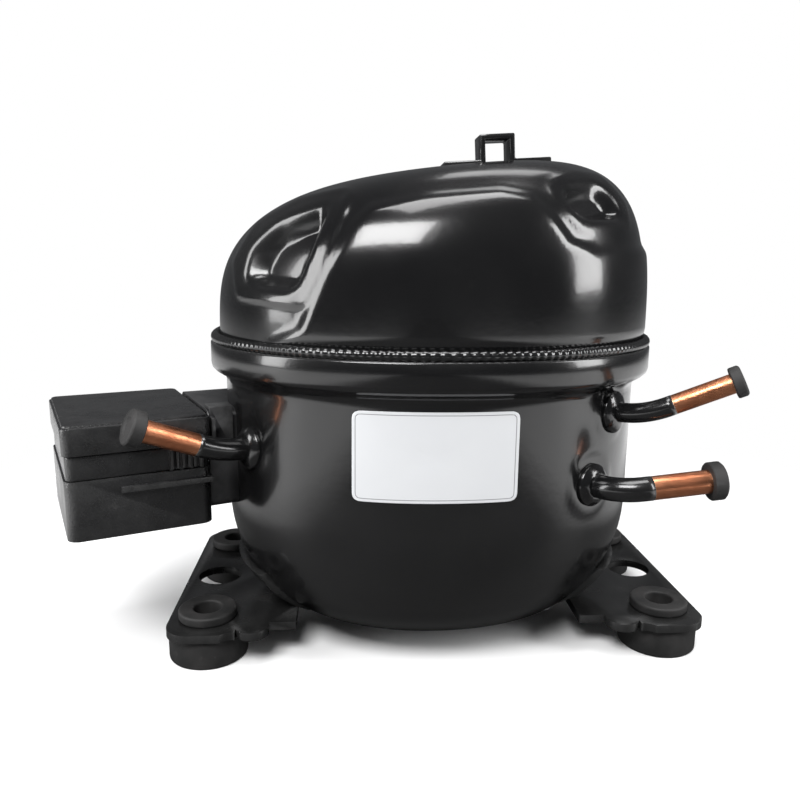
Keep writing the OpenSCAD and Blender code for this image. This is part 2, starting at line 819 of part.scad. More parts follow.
module cylinder_head() {
    color([0.7, 0.71, 0.73]) difference() {
        translate([head_x, 0, axis_z]) rotate([90, 0, 90]) round_block(38, 38, head_t, 5);
        translate([head_x - 1, 1.8, axis_z - 11]) cube([5.6, 10, 24]);
        translate([head_x - 1, -12, axis_z - 14]) cube([5.6, 12, 27]);
        translate([head_x - 1, 0, 0]) at_head_bolts() cylinder(h = 12, r = 2.2);
        translate([head_x + 2.4, 10, axis_z]) rotate([-90, 0, 0]) cylinder(h = 12, r = 2.2);
    }
}

module head_bolts() {
    color(steel) at_head_bolts() {
        translate([0, 0, bore_end - 14]) cylinder(h = head_x + head_t - bore_end + 15, r = 2);
        translate([0, 0, head_x + head_t + 0.02]) cylinder(h = 2.4, r = 3.4, $fn = 6);
    }
}

module suction_muffler() {
    color([0.9, 0.9, 0.86]) {
        difference() {
            translate([29, 32.5, 118]) round_block(34, 18, 32, 5);
            translate([29, 32.5, 120]) round_block(31, 15, 32, 3.5);
        }
        difference() {
            translate([44, 24, 132]) cube([head_x + 2.4 - 44 + 3, 5, 10]);
            translate([47, 25.2, axis_z]) cube([head_x + 2.4 - 47 + 1.8, 2.6, 3]);
        }
        translate([head_x + 2.4, 19.1, axis_z]) rotate([-90, 0, 0]) difference() {
            cylinder(h = 5.4, r = 3);
            translate([0, 0, -1]) cylinder(h = 8, r = 2.1);
        }
    }
}

module muffler_cap() {
    color([0.9, 0.9, 0.86]) translate([29, 32.5, 150.1]) difference() {
        union() {
            round_block(34.6, 18.6, 2, 5);
            translate([-8, 0, 1]) cylinder(h = 5, r = 5);
        }
        translate([-8, 0, -1]) cylinder(h = 9, r = 3.6);
    }
}

module discharge_dome() {
    color(steel) translate([32, -31.5, deck_z + deck_t + 0.02]) rotate_extrude()
        polygon([[0, 0], [9.6, 0], [9.6, 1.6], [8.4, 1.6], [8.4, 18], [6, 21], [0, 22]]);
}

module shock_loop() {
    end = discharge_at - 8.2 * unit(discharge_out);
    color(copper) sweep(smooth([end, [49.5, -42.5, 98], [40, -50, 101.5], [20, -53.5, 102],
        [-8, -54, 102], [-30, -50, 102], [-46, -42, 103], [-52, -36, 107], [-50, -38, 113],
        [-40, -45, 117], [-20, -49, 119], [2, -49, 121], [18, -46, 125], [26, -43, 129],
        [32, -38.8, 131]], 4), 2.2, 8);
}

module thrust_washer() {
    color([0.7, 0.6, 0.35]) translate([0, 0, deck_z + deck_t + 0.01]) difference() {
        cylinder(h = 0.9, r = 14.5);
        translate([0, 0, -1]) cylinder(h = 3, r = shaft_r + 0.4);
    }
}

module crankshaft() {
    pin_top = axis_z + 7;
    web_t = 6;
    color(steel) difference() {
        union() {
            translate([0, 0, 34]) cylinder(h = web_z - 33, r = shaft_r);
            translate([0, 0, web_z]) cylinder(h = web_t, r = 16);
            translate([0, throw, web_z + 1]) cylinder(h = pin_top - web_z - 1, r = pin_r);
        }
        translate([0, 0, 30]) cylinder(h = 26, r = 3.52);
        translate([0, throw / 2, pin_top - 4.4]) cylinder(h = 6, r = ball_r + 0.1);
    }
}

ball_r = 2;

module duct_ball() {
    color(steel) translate([0, throw / 2, axis_z + 4.8]) sphere(r = ball_r);
}

module oil_pickup() {
    color([0.7, 0.72, 0.75]) rotate_extrude()
        polygon([[1.6, 17], [2.4, 17], [3.5, 30], [3.5, 50], [2.9, 50], [2.9, 31]]);
}

module slide_block() {
    half = 10.5;
    color(steel) difference() {
        translate([0, throw + half, axis_z]) rotate([90, 0, 0]) cylinder(h = 2 * half, r = block_r);
        translate([0, throw, axis_z - 15]) cylinder(h = 30, r = pin_r + run);
    }
}

module piston() {
    half = 21;
    skirt = 22;
    color([0.6, 0.62, 0.64]) difference() {
        union() {
            translate([piston_face - skirt, 0, axis_z]) rotate([0, 90, 0])
                cylinder(h = skirt, r = bore_d / 2 - run);
            translate([8, 0, axis_z]) rotate([0, 90, 0])
                cylinder(h = piston_face - skirt - 7, r = 8.5);
            translate([0, half, axis_z]) rotate([90, 0, 0]) cylinder(h = 2 * half, r = yoke_r);
        }
        translate([0, half + 1, axis_z]) rotate([90, 0, 0])
            cylinder(h = 2 * half + 2, r = block_r + run);
        translate([-pin_r - 0.6, -throw - pin_r - 0.7, axis_z - 20])
            cube([2 * pin_r + 1.2, 2 * (throw + pin_r + 0.7), 20]);
        for (x = [4, 8]) translate([piston_face - x, 0, axis_z]) rotate([0, 90, 0]) difference() {
            cylinder(h = 1, r = bore_d / 2 + 1);
            translate([0, 0, -1]) cylinder(h = 3, r = bore_d / 2 - 0.7);
        }
    }
}

lower_shell();
upper_shell();
weld_seam();
lid_bracket();
base_plate_left();
base_plate_right();
grommet_front_left();
grommet_front_right();
grommet_rear_left();
grommet_rear_right();
suction_tube();
discharge_tube();
process_tube();
suction_collar();
discharge_collar();
process_collar();
suction_plug();
discharge_plug();
process_plug();
blank_label();
terminal_cup();
terminal_glass();
terminal_pins();
terminal_fence();
earth_screw();
box_lid();
starter_housing();
junction_box();
box_clip();
ptc_starter();
overload_protector();
spring_posts();
suspension_springs();
spring_caps();
stator_core();
motor_windings();
stator_bolts();
winding_connector();
inner_leads();
cylinder_block();
suction_reed();
valve_plate();
discharge_reed();
reed_stop();
head_gaskets();
cylinder_head();
head_bolts();
suction_muffler();
muffler_cap();
discharge_dome();
shock_loop();
thrust_washer();
crankshaft();
oil_pickup();
rotor_core();
rotor_cage();
counterweight();
duct_ball();
slide_block();
piston();
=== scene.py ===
import logging
import math
from collections.abc import Callable, Sequence
from dataclasses import dataclass
from enum import Enum

import bmesh
import bpy
from mathutils import Matrix, Vector


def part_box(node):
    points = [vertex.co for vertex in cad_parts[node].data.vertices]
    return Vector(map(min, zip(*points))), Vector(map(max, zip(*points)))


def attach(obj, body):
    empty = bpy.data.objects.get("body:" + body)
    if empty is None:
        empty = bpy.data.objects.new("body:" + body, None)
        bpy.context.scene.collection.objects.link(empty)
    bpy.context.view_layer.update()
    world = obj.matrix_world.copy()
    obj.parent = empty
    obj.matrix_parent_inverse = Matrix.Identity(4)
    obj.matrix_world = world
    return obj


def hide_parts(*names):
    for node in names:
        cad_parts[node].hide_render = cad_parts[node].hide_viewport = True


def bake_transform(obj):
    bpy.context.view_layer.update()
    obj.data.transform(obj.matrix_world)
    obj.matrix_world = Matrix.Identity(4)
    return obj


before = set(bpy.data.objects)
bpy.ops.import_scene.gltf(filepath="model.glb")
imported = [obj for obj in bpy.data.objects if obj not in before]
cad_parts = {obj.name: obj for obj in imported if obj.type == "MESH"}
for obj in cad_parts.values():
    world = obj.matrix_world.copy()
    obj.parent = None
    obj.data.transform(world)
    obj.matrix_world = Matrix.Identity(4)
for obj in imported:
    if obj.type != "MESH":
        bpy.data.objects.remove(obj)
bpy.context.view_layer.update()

# Looks of a hermetic compressor: a black painted shell on two plates, with copper tubes and
# a clip-on electrical box outside, and the motor and pump inside. Metres throughout.

MM = 0.001
LOG = logging.getLogger("compressor")
Point = tuple[float, float, float]
Ring = list[Point]


class Body(Enum):
    """Rigid bodies that a piece can ride on."""

    SHELL = "shell"
    BOX = "terminal_box"
    COVER = "box_cover"
    PUMP = "pump"
    CRANK = "crank"


class Side(Enum):
    """Which end of the shell a piece stands at, as the sign of X."""

    LEFT = -1
    RIGHT = 1


# ---- Small sums ----


def smoothstep(t: float) -> float:
    """Rise smoothly from 0 to 1 as t goes from 0 to 1."""
    t = max(0.0, min(1.0, t))
    return t * t * (3 - 2 * t)


def signed_power(value: float, exponent: float) -> float:
    """Raise the size of a value to an exponent and keep its sign."""
    return math.copysign(abs(value) ** exponent, value)


def inside_distance(x: float, z: float, outline: Sequence[tuple[float, float]]) -> float:
    """Signed distance from a point to an outline.

    Args:
        x: First coordinate of the point.
        z: Second coordinate of the point.
        outline: Corners of a closed outline.

    Returns:
        The distance to the nearest edge, positive inside the outline.
    """
    nearest, inside = math.inf, False
    for (x0, z0), (x1, z1) in zip(outline, list(outline[1:]) + [outline[0]]):
        dx, dz = x1 - x0, z1 - z0
        t = max(0.0, min(1.0, ((x - x0) * dx + (z - z0) * dz) / (dx * dx + dz * dz)))
        nearest = min(nearest, math.hypot(x - x0 - t * dx, z - z0 - t * dz))
        if (z0 > z) != (z1 > z) and x < x0 + (z - z0) * dx / dz:
            inside = not inside
    return nearest if inside else -nearest


# ---- Meshes ----


def mesh_object(name: str, points: Sequence[Point], faces: Sequence[Sequence[int]],
                recalculate: bool = True) -> bpy.types.Object:
    """Make a smooth mesh object that stands at the origin.

    Args:
        name: Name of the piece.
        points: Vertex positions.
        faces: Vertex numbers of each face.
        recalculate: Whether the faces are turned to point outwards.

    Returns:
        The new object, linked to the scene.
    """
    mesh = bpy.data.meshes.new(name)
    mesh.from_pydata([tuple(p) for p in points], [], [tuple(f) for f in faces])
    obj = bpy.data.objects.new(name, mesh)
    bpy.context.scene.collection.objects.link(obj)
    if recalculate:
        edit_mesh(obj, lambda bm: bmesh.ops.recalc_face_normals(bm, faces=bm.faces))
    for polygon in mesh.polygons:
        polygon.use_smooth = True
    return obj


def edit_mesh(obj: bpy.types.Object, change: Callable[[bmesh.types.BMesh], object]) -> None:
    """Run one change on an object's mesh.

    Args:
        obj: The mesh object.
        change: Function that takes the editable mesh.
    """
    bm = bmesh.new()
    bm.from_mesh(obj.data)
    change(bm)
    bm.to_mesh(obj.data)
    bm.free()


def loft(name: str, rings: Sequence[Ring], closed: bool = False,
         tips: bool = True) -> bpy.types.Object:
    """Skin a row of rings that all have the same number of points.

    Args:
        name: Name of the piece.
        rings: The rings in order.
        closed: Whether the last ring joins the first.
        tips: Whether both ends are filled from a middle point.

    Returns:
        A closed mesh object.
    """
    count, last = len(rings[0]), len(rings)
    points = [p for ring in rings for p in ring]
    faces = []
    for k in range(last if closed else last - 1):
        low, high = k * count, ((k + 1) % last) * count
        for i in range(count):
            j = (i + 1) % count
            faces.append((low + i, low + j, high + j, high + i))
    if tips and not closed:
        for start in (0, (last - 1) * count):
            middle = sum((Vector(p) for p in points[start:start + count]), Vector()) / count
            points.append(tuple(middle))
            faces += [(start + i, start + (i + 1) % count, len(points) - 1)
                      for i in range(count)]
    return mesh_object(name, points, faces)


def frame_of(axis: Vector) -> Matrix:
    """Rotation that turns +Z to an axis."""
    return axis.normalized().to_track_quat("Z", "Y").to_matrix()


def revolve(name: str, profile: Sequence[tuple[float, float]], base: Vector, axis: Vector,
            segments: int = 72) -> bpy.types.Object:
    """Turn a profile about an axis.

    Args:
        name: Name of the piece.
        profile: Radius and height pairs; a closed loop, or one that starts and ends on the axis.
        base: Where height 0 lies.
        axis: Way of the axis.
        segments: Steps round the turn.

    Returns:
        A closed mesh object.
    """
    turn = frame_of(axis)
    solid = profile[0][0] < 1e-9
    body = [p for p in profile if p[0] > 1e-9]
    rings = [[tuple(base + turn @ Vector((r * math.cos(a), r * math.sin(a), h)))
              for a in (2 * math.pi * i / segments for i in range(segments))] for r, h in body]
    return loft(name, rings, closed=not solid, tips=solid)


def rounded(profile: Sequence[tuple[float, float]], radius: float, steps: int = 4,
            closed: bool = True) -> list[tuple[float, float]]:
    """Round every corner of a flat outline.

    Args:
        profile: Corners in order.
        radius: Largest rounding; short sides take less.
        steps: Points in each rounding.
        closed: Whether the outline is a loop.

    Returns:
        The rounded outline.
    """
    result, count = [], len(profile)
    for i, corner in enumerate(profile):
        if not closed and i in (0, count - 1):
            result.append(tuple(corner))
            continue
        here = Vector(corner)
        before = Vector(profile[i - 1]) - here
        after = Vector(profile[(i + 1) % count]) - here
        cut = min(radius, 0.45 * before.length, 0.45 * after.length)
        start, end = here + before.normalized() * cut, here + after.normalized() * cut
        for k in range(steps + 1):
            t = k / steps
            result.append(tuple((1 - t) ** 2 * start + 2 * t * (1 - t) * here + t * t * end))
    return result


def bent_route(corners: Sequence[Vector], radius: float, steps: int = 12) -> list[Vector]:
    """Points along straight lengths joined by smooth bends.

    Args:
        corners: Ends and corners of the route.
        radius: Length that each bend takes of the straights beside it.
        steps: Points in each bend.

    Returns:
        The route's points.
    """
    route = [corners[0]]
    for before, here, after in zip(corners, corners[1:], corners[2:]):
        start = here + (before - here).normalized() * radius
        end = here + (after - here).normalized() * radius
        for k in range(steps + 1):
            t = k / steps
            route.append((1 - t) ** 2 * start + 2 * t * (1 - t) * here + t * t * end)
    route.append(corners[-1])
    return route


def route_rings(route: Sequence[Vector], radius: float, sides: int) -> list[Ring]:
    """Rings square to a route.

    Args:
        route: Points along the route.
        radius: Radius of each ring.
        sides: Points in each ring.

    Returns:
        One ring for each point.
    """
    rings, side = [], None
    for k, here in enumerate(route):
        way = (route[min(k + 1, len(route) - 1)] - route[max(k - 1, 0)]).normalized()
        side = (way.orthogonal() if side is None else side - way * side.dot(way)).normalized()
        up = way.cross(side)
        rings.append([tuple(here + radius * (math.cos(a) * side + math.sin(a) * up))
                      for a in (2 * math.pi * i / sides for i in range(sides))])
    return rings


def evaluated(obj: bpy.types.Object) -> bpy.types.Object:
    """Apply an object's modifiers, or make a curve a mesh.

    Args:
        obj: Object that is used up.

    Returns:
        A plain mesh object of the same name.
    """
    name = obj.name
    graph = bpy.context.evaluated_depsgraph_get()
    mesh = bpy.data.meshes.new_from_object(obj.evaluated_get(graph), depsgraph=graph)
    bpy.data.objects.remove(obj)
    result = bpy.data.objects.new(name, mesh)
    mesh.name = name
    bpy.context.scene.collection.objects.link(result)
    return result


def softened(node: str, width: float, segments: int = 2) -> bpy.types.Object:
    """Copy of a CAD node with its hard edges rounded.

    Args:
        node: Name of the CAD node.
        width: Width of the rounding.
        segments: Steps across the rounding.

    Returns:
        A plain mesh object.
    """
    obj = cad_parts[node].copy()
    obj.data = obj.data.copy()
    obj.name = node + "_finish"
    obj.parent = None
    for key in list(obj.keys()):
        del obj[key]
    bpy.context.scene.collection.objects.link(obj)
    edit_mesh(obj, lambda bm: bmesh.ops.remove_doubles(bm, verts=bm.verts, dist=2e-6))
    edit_mesh(obj, lambda bm: bmesh.ops.dissolve_limit(
        bm, angle_limit=math.radians(0.5), verts=bm.verts, edges=bm.edges))
    bevel = obj.modifiers.new("edges", "BEVEL")
    bevel.width = width
    bevel.segments = segments
    bevel.limit_method = "ANGLE"
    bevel.angle_limit = math.radians(38)
    bevel.use_clamp_overlap = True
    obj = evaluated(obj)
    edit_mesh(obj, lambda bm: bmesh.ops.remove_doubles(bm, verts=bm.verts, dist=1e-6))
    shade_by_angle(obj, 34)
    return obj


def shade_by_angle(obj: bpy.types.Object, degrees: float) -> None:
    """Smooth a mesh, but keep edges sharper than an angle.

    Args:
        obj: The mesh object.
        degrees: Smallest angle that stays sharp.
    """
    for polygon in obj.data.polygons:
        polygon.use_smooth = True
    limit = math.radians(degrees)

    def mark(bm: bmesh.types.BMesh) -> None:
        """Mark the sharp edges."""
        for edge in bm.edges:
            edge.smooth = len(edge.link_faces) == 2 and edge.calc_face_angle(0.0) < limit
    edit_mesh(obj, mark)


def dress(obj: bpy.types.Object, material: bpy.types.Material, body: Body | str,
          slot: str, replaces: Sequence[str] = (),
          stretch: tuple[float, float] | None = None) -> bpy.types.Object:
    """Give a finished piece its material and its place in the assembly.

    Args:
        obj: The finished piece.
        material: Its finish.
        body: The body it rides on.
        slot: Its material slot in the record; not used.
        replaces: CAD nodes that it stands for.
        stretch: When given, the piece keeps its place in world space and rides on no body; the
            heights in it are not used.

    Returns:
        The same object.
    """
    obj.data.materials.clear()
    obj.data.materials.append(material)
    for polygon in obj.data.polygons:
        polygon.material_index = 0
    if stretch:
        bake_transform(obj)
    else:
        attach(obj, body.value if isinstance(body, Body) else body)
    if replaces:
        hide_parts(*replaces)
    LOG.info("%s: %d faces", obj.name, len(obj.data.polygons))
    return obj


# ---- Shader groups and finishes ----


class Canvas:
    """Adds and joins the nodes of one node tree."""

    def __init__(self, tree: bpy.types.NodeTree) -> None:
        """Start on a tree."""
        self.tree = tree

    def add(self, kind: str, inputs: dict | None = None, **settings: object) -> bpy.types.Node:
        """Add a node.

        Args:
            kind: Node type.
            inputs: Values or output sockets, by input name or number.
            settings: Properties of the node.

        Returns:
            The new node.
        """
        node = self.tree.nodes.new(kind)
        for key, value in settings.items():
            setattr(node, key, value)
        for key, value in (inputs or {}).items():
            if isinstance(value, bpy.types.NodeSocket):
                self.tree.links.new(value, node.inputs[key])
            else:
                node.inputs[key].default_value = value
        return node

    def ramp(self, factor: bpy.types.NodeSocket, low: float, high: float, start: float,
             end: float) -> bpy.types.NodeSocket:
        """Map a value from one range to another, held at the ends."""
        node = self.add("ShaderNodeMapRange", {0: factor, 1: low, 2: high, 3: start, 4: end})
        return node.outputs[0]

    def blend(self, factor: bpy.types.NodeSocket, first: Sequence[float],
              second: Sequence[float]) -> bpy.types.NodeSocket:
        """Blend two colours, or a colour socket and a colour."""
        node = self.tree.nodes.new("ShaderNodeMix")
        node.data_type = "RGBA"
        self.tree.links.new(factor, node.inputs[0])
        for socket, value in ((node.inputs[6], first), (node.inputs[7], second)):
            if isinstance(value, bpy.types.NodeSocket):
                self.tree.links.new(value, socket)
            else:
                socket.default_value = (*value[:3], 1)
        return node.outputs[2]


def shader_group(name: str, inputs: dict[str, float],
                 outputs: Sequence[str]) -> tuple[Canvas, bpy.types.Node, bpy.types.Node]:
    """Start a shader node group with named values.

    Args:
        name: Name of the group.
        inputs: Input names and their usual values.
        outputs: Names of the value outputs.

    Returns:
        The canvas, the group's input node and its output node.
    """
    tree = bpy.data.node_groups.new(name, "ShaderNodeTree")
    for label, value in inputs.items():
        socket = tree.interface.new_socket(label, in_out="INPUT", socket_type="NodeSocketFloat")
        socket.default_value = value
    for label in outputs:
        tree.interface.new_socket(label, in_out="OUTPUT", socket_type="NodeSocketFloat")
    canvas = Canvas(tree)
    return canvas, canvas.add("NodeGroupInput"), canvas.add("NodeGroupOutput")


def grain_group() -> bpy.types.NodeTree:
    """Fine grain over a slow waviness, as heights."""
    canvas, source, target = shader_group(
        "grain", {"Fine": 900.0, "Slow": 45.0, "Fine share": 0.5}, ("Height", "Slow mask"))
    place = canvas.add("ShaderNodeTexCoord").outputs["Object"]
    fine = canvas.add("ShaderNodeTexNoise", {"Vector": place, "Scale": source.outputs[0],
                                             "Detail": 3.0})
    slow = canvas.add("ShaderNodeTexNoise", {"Vector": place, "Scale": source.outputs[1],
                                             "Detail": 2.0})
    mixed = canvas.add("ShaderNodeMix", {0: source.outputs[2], 2: slow.outputs[0],
                                         3: fine.outputs[0]})
    canvas.tree.links.new(mixed.outputs[0], target.inputs[0])
    canvas.tree.links.new(slow.outputs[0], target.inputs[1])
    return canvas.tree


def wear_group() -> bpy.types.NodeTree:
    """Masks for rubbed edges and settled dust."""
    canvas, source, target = shader_group(
        "wear", {"Edge start": 0.52, "Edge end": 0.6, "Speck scale": 260.0}, ("Edge", "Specks"))
    place = canvas.add("ShaderNodeTexCoord").outputs["Object"]
    pointed = canvas.add("ShaderNodeNewGeometry").outputs["Pointiness"]
    broken = canvas.add("ShaderNodeTexNoise", {"Vector": place, "Scale": 320.0, "Detail": 4.0})
    edge = canvas.add("ShaderNodeMapRange", {0: pointed, 1: source.outputs[0],
                                             2: source.outputs[1], 3: 0.0, 4: 1.0})
    worn = canvas.add("ShaderNodeMath", {0: edge.outputs[0], 1: broken.outputs[0]},
                      operation="MULTIPLY")
    dust = canvas.add("ShaderNodeTexNoise", {"Vector": place, "Scale": source.outputs[2],
                                             "Detail": 6.0, "Roughness": 0.7})
    specks = canvas.ramp(dust.outputs[0], 0.6, 0.76, 0.0, 1.0)
    canvas.tree.links.new(worn.outputs[0], target.inputs[0])
    canvas.tree.links.new(specks, target.inputs[1])
    return canvas.tree


def streak_group() -> bpy.types.NodeTree:
    """Fine lines drawn out along one axis of the object."""
    canvas, source, target = shader_group(
        "streaks", {"Along X": 1.0, "Along Y": 1.0, "Along Z": 1.0, "Scale": 400.0}, ("Lines",))
    place = canvas.add("ShaderNodeTexCoord").outputs["Object"]
    squeeze = canvas.add("ShaderNodeCombineXYZ", {0: source.outputs[0], 1: source.outputs[1],
                                                  2: source.outputs[2]})
    scaled = canvas.add("ShaderNodeVectorMath", {0: place, 1: squeeze.outputs[0]},
                        operation="MULTIPLY")
    lines = canvas.add("ShaderNodeTexNoise", {"Vector": scaled.outputs[0],
                                              "Scale": source.outputs[3], "Detail": 4.0})
    canvas.tree.links.new(lines.outputs[0], target.inputs[0])
    return canvas.tree


class Groups:
    """The shader groups, each built once."""

    def __init__(self) -> None:
        """Build the groups."""
        self.grain = grain_group()
        self.wear = wear_group()
        self.streaks = streak_group()


@dataclass(frozen=True)
class Finish:
    """One surface finish, made of a base colour with grain, wear and streaks."""

    name: str
    colour: Point
    second: Point
    roughness: tuple[float, float]
    metallic: float = 0.0
    specular: float = 0.5
    coat: float = 0.0
    coat_roughness: float = 0.05
    fine: float = 900.0
    slow: float = 45.0
    fine_share: float = 0.5
    bump: float = 0.05
    bump_depth: float = 0.0002
    edge: Point | None = None
    edge_limits: tuple[float, float] = (0.52, 0.6)
    dust: float = 0.0
    streak: Point | None = None
    streak_scale: float = 400.0
    transmission: float = 0.0

    def build(self, groups: Groups) -> bpy.types.Material:
        """Make the material.

        Args:
            groups: The shared shader groups.

        Returns:
            A material with a Principled shader.
        """
        material = bpy.data.materials.new(self.name)
        material.use_nodes = True
        canvas = Canvas(material.node_tree)
        shader = material.node_tree.nodes["Principled BSDF"]
        for label, value in (("Metallic", self.metallic), ("Specular IOR Level", self.specular),
                             ("Coat Weight", self.coat), ("Coat Roughness", self.coat_roughness),
                             ("Transmission Weight", self.transmission)):
            shader.inputs[label].default_value = value
        grain = canvas.add("ShaderNodeGroup", node_tree=groups.grain)
        for label, value in (("Fine", self.fine), ("Slow", self.slow),
                             ("Fine share", self.fine_share)):
            grain.inputs[label].default_value = value
        wear = canvas.add("ShaderNodeGroup", node_tree=groups.wear)
        wear.inputs["Edge start"].default_value = self.edge_limits[0]
        wear.inputs["Edge end"].default_value = self.edge_limits[1]
        shade = canvas.ramp(grain.outputs["Slow mask"], 0.35, 0.68, 0.0, 1.0)
        colour = canvas.blend(shade, self.colour, self.second)
        height = grain.outputs["Height"]
        if self.streak:
            streaks = canvas.add("ShaderNodeGroup", node_tree=groups.streaks)
            for label, value in zip(("Along X", "Along Y", "Along Z"), self.streak):
                streaks.inputs[label].default_value = value
            streaks.inputs["Scale"].default_value = self.streak_scale
            lines = canvas.ramp(streaks.outputs["Lines"], 0.3, 0.7, 0.0, 1.0)
            colour = canvas.blend(canvas.ramp(lines, 0.0, 1.0, 0.0, 0.5), colour, self.second)
            height = canvas.add("ShaderNodeMix", {0: 0.6, 2: height, 3: lines}).outputs[0]
        if self.edge:
            colour = canvas.blend(wear.outputs["Edge"], colour, self.edge)
        if self.dust:
            film = canvas.ramp(wear.outputs["Specks"], 0.0, 1.0, 0.0, self.dust)
            colour = canvas.blend(film, colour, (0.32, 0.31, 0.3))
        rough = canvas.ramp(grain.outputs["Slow mask"], 0.3, 0.7, *self.roughness)
        bump = canvas.add("ShaderNodeBump", {"Strength": self.bump, "Height": height,
                                             "Distance": self.bump_depth})
        material.node_tree.links.new(colour, shader.inputs["Base Color"])
        material.node_tree.links.new(rough, shader.inputs["Roughness"])
        material.node_tree.links.new(bump.outputs[0], shader.inputs["Normal"])
        return material


BLACK_PAINT = Finish("black_paint", (0.004, 0.004, 0.0043), (0.007, 0.007, 0.0072), (0.14, 0.24),
                     specular=0.42, coat=0.25, coat_roughness=0.05, fine=420.0, slow=26.0,
                     fine_share=0.25, bump=0.22, bump_depth=0.0005,
                     edge=(0.05, 0.05, 0.05), edge_limits=(0.53, 0.62), dust=0.012)
PLATE_PAINT = Finish("plate_paint", (0.008, 0.008, 0.008), (0.016, 0.016, 0.016), (0.18, 0.3),
                     specular=0.5, fine=900.0, slow=60.0, fine_share=0.5, bump=0.2,
                     bump_depth=0.0004, edge=(0.09, 0.09, 0.09), edge_limits=(0.53, 0.62),
                     dust=0.03)
RUBBER = Finish("black_rubber", (0.012, 0.012, 0.012), (0.024, 0.023, 0.023), (0.55, 0.75),
                specular=0.35, fine=1500.0, slow=120.0, bump=0.35, bump_depth=0.0003,
                edge=(0.05, 0.05, 0.05), dust=0.06)
COPPER = Finish("bare_copper", (0.66, 0.27, 0.14), (0.42, 0.15, 0.075), (0.24, 0.42),
                metallic=1.0, fine=1400.0, slow=150.0, bump=0.3, bump_depth=0.0002,
                edge=(0.8, 0.45, 0.28), streak=(0.12, 1.6, 1.6), streak_scale=700.0)
BOX_PLASTIC = Finish("box_plastic", (0.008, 0.008, 0.0085), (0.014, 0.014, 0.0145), (0.24, 0.36),
                     specular=0.5, fine=1500.0, slow=80.0, fine_share=0.8, bump=0.5,
                     bump_depth=0.0004, edge=(0.06, 0.06, 0.06), edge_limits=(0.52, 0.6),
                     dust=0.05)
CREAM_PLASTIC = Finish("cream_plastic", (0.78, 0.73, 0.6), (0.7, 0.64, 0.5), (0.35, 0.5),
                       fine=1200.0, slow=90.0, bump=0.2, edge=(0.85, 0.82, 0.72))
DARK_STEEL = Finish("phosphated_steel", (0.035, 0.035, 0.037), (0.06, 0.06, 0.062), (0.3, 0.45),
                    metallic=0.6, fine=1300.0, slow=110.0, bump=0.3, edge=(0.2, 0.2, 0.2))
STEEL = Finish("turned_steel", (0.56, 0.57, 0.59), (0.42, 0.43, 0.45), (0.22, 0.4), metallic=1.0,
               fine=1600.0, slow=120.0, bump=0.25, edge=(0.75, 0.76, 0.78),
               streak=(1.0, 1.0, 0.08), streak_scale=600.0)
SHEET_STEEL = Finish("valve_steel", (0.6, 0.61, 0.63), (0.5, 0.51, 0.54), (0.16, 0.3),
                     metallic=1.0, fine=1200.0, slow=140.0, bump=0.15,
                     streak=(1.0, 0.1, 1.0), streak_scale=900.0)
IRON = Finish("cast_iron", (0.23, 0.23, 0.24), (0.13, 0.13, 0.14), (0.45, 0.65), metallic=0.85,
              fine=520.0, slow=70.0, fine_share=0.7, bump=0.7, bump_depth=0.0006,
              edge=(0.45, 0.45, 0.46))
LAMINATION = Finish("lamination", (0.32, 0.33, 0.36), (0.14, 0.14, 0.16), (0.3, 0.45),
                    metallic=0.9, fine=700.0, slow=60.0, bump=0.8, bump_depth=0.0005,
                    streak=(0.03, 0.03, 2.4), streak_scale=500.0)
WINDING = Finish("enamelled_wire", (0.5, 0.17, 0.05), (0.26, 0.07, 0.02), (0.18, 0.3),
                 metallic=0.55, coat=0.6, fine=1300.0, slow=110.0, bump=0.8, bump_depth=0.0006,
                 streak=(0.9, 0.9, 2.6), streak_scale=420.0)
ALUMINIUM = Finish("cast_aluminium", (0.68, 0.69, 0.71), (0.52, 0.53, 0.55), (0.35, 0.55),
                   metallic=0.95, fine=900.0, slow=80.0, bump=0.5, edge=(0.85, 0.86, 0.88))
SEALING_GLASS = Finish("sealing_glass", (0.03, 0.1, 0.16), (0.05, 0.16, 0.24), (0.04, 0.1),
                       fine=400.0, slow=60.0, bump=0.05, coat=0.8)
GASKET = Finish("gasket_fibre", (0.1, 0.14, 0.12), (0.17, 0.2, 0.17), (0.6, 0.8),
                fine=2200.0, slow=200.0, bump=0.6)
BRONZE = Finish("brass_screw", (0.62, 0.43, 0.17), (0.48, 0.31, 0.11), (0.22, 0.36),
                metallic=1.0, fine=1200.0, slow=140.0, bump=0.25, edge=(0.8, 0.62, 0.34))
BRAID = Finish("lead_braid", (0.72, 0.7, 0.62), (0.5, 0.48, 0.41), (0.6, 0.8), fine=2600.0,
               slow=300.0, bump=0.9, bump_depth=0.0004)


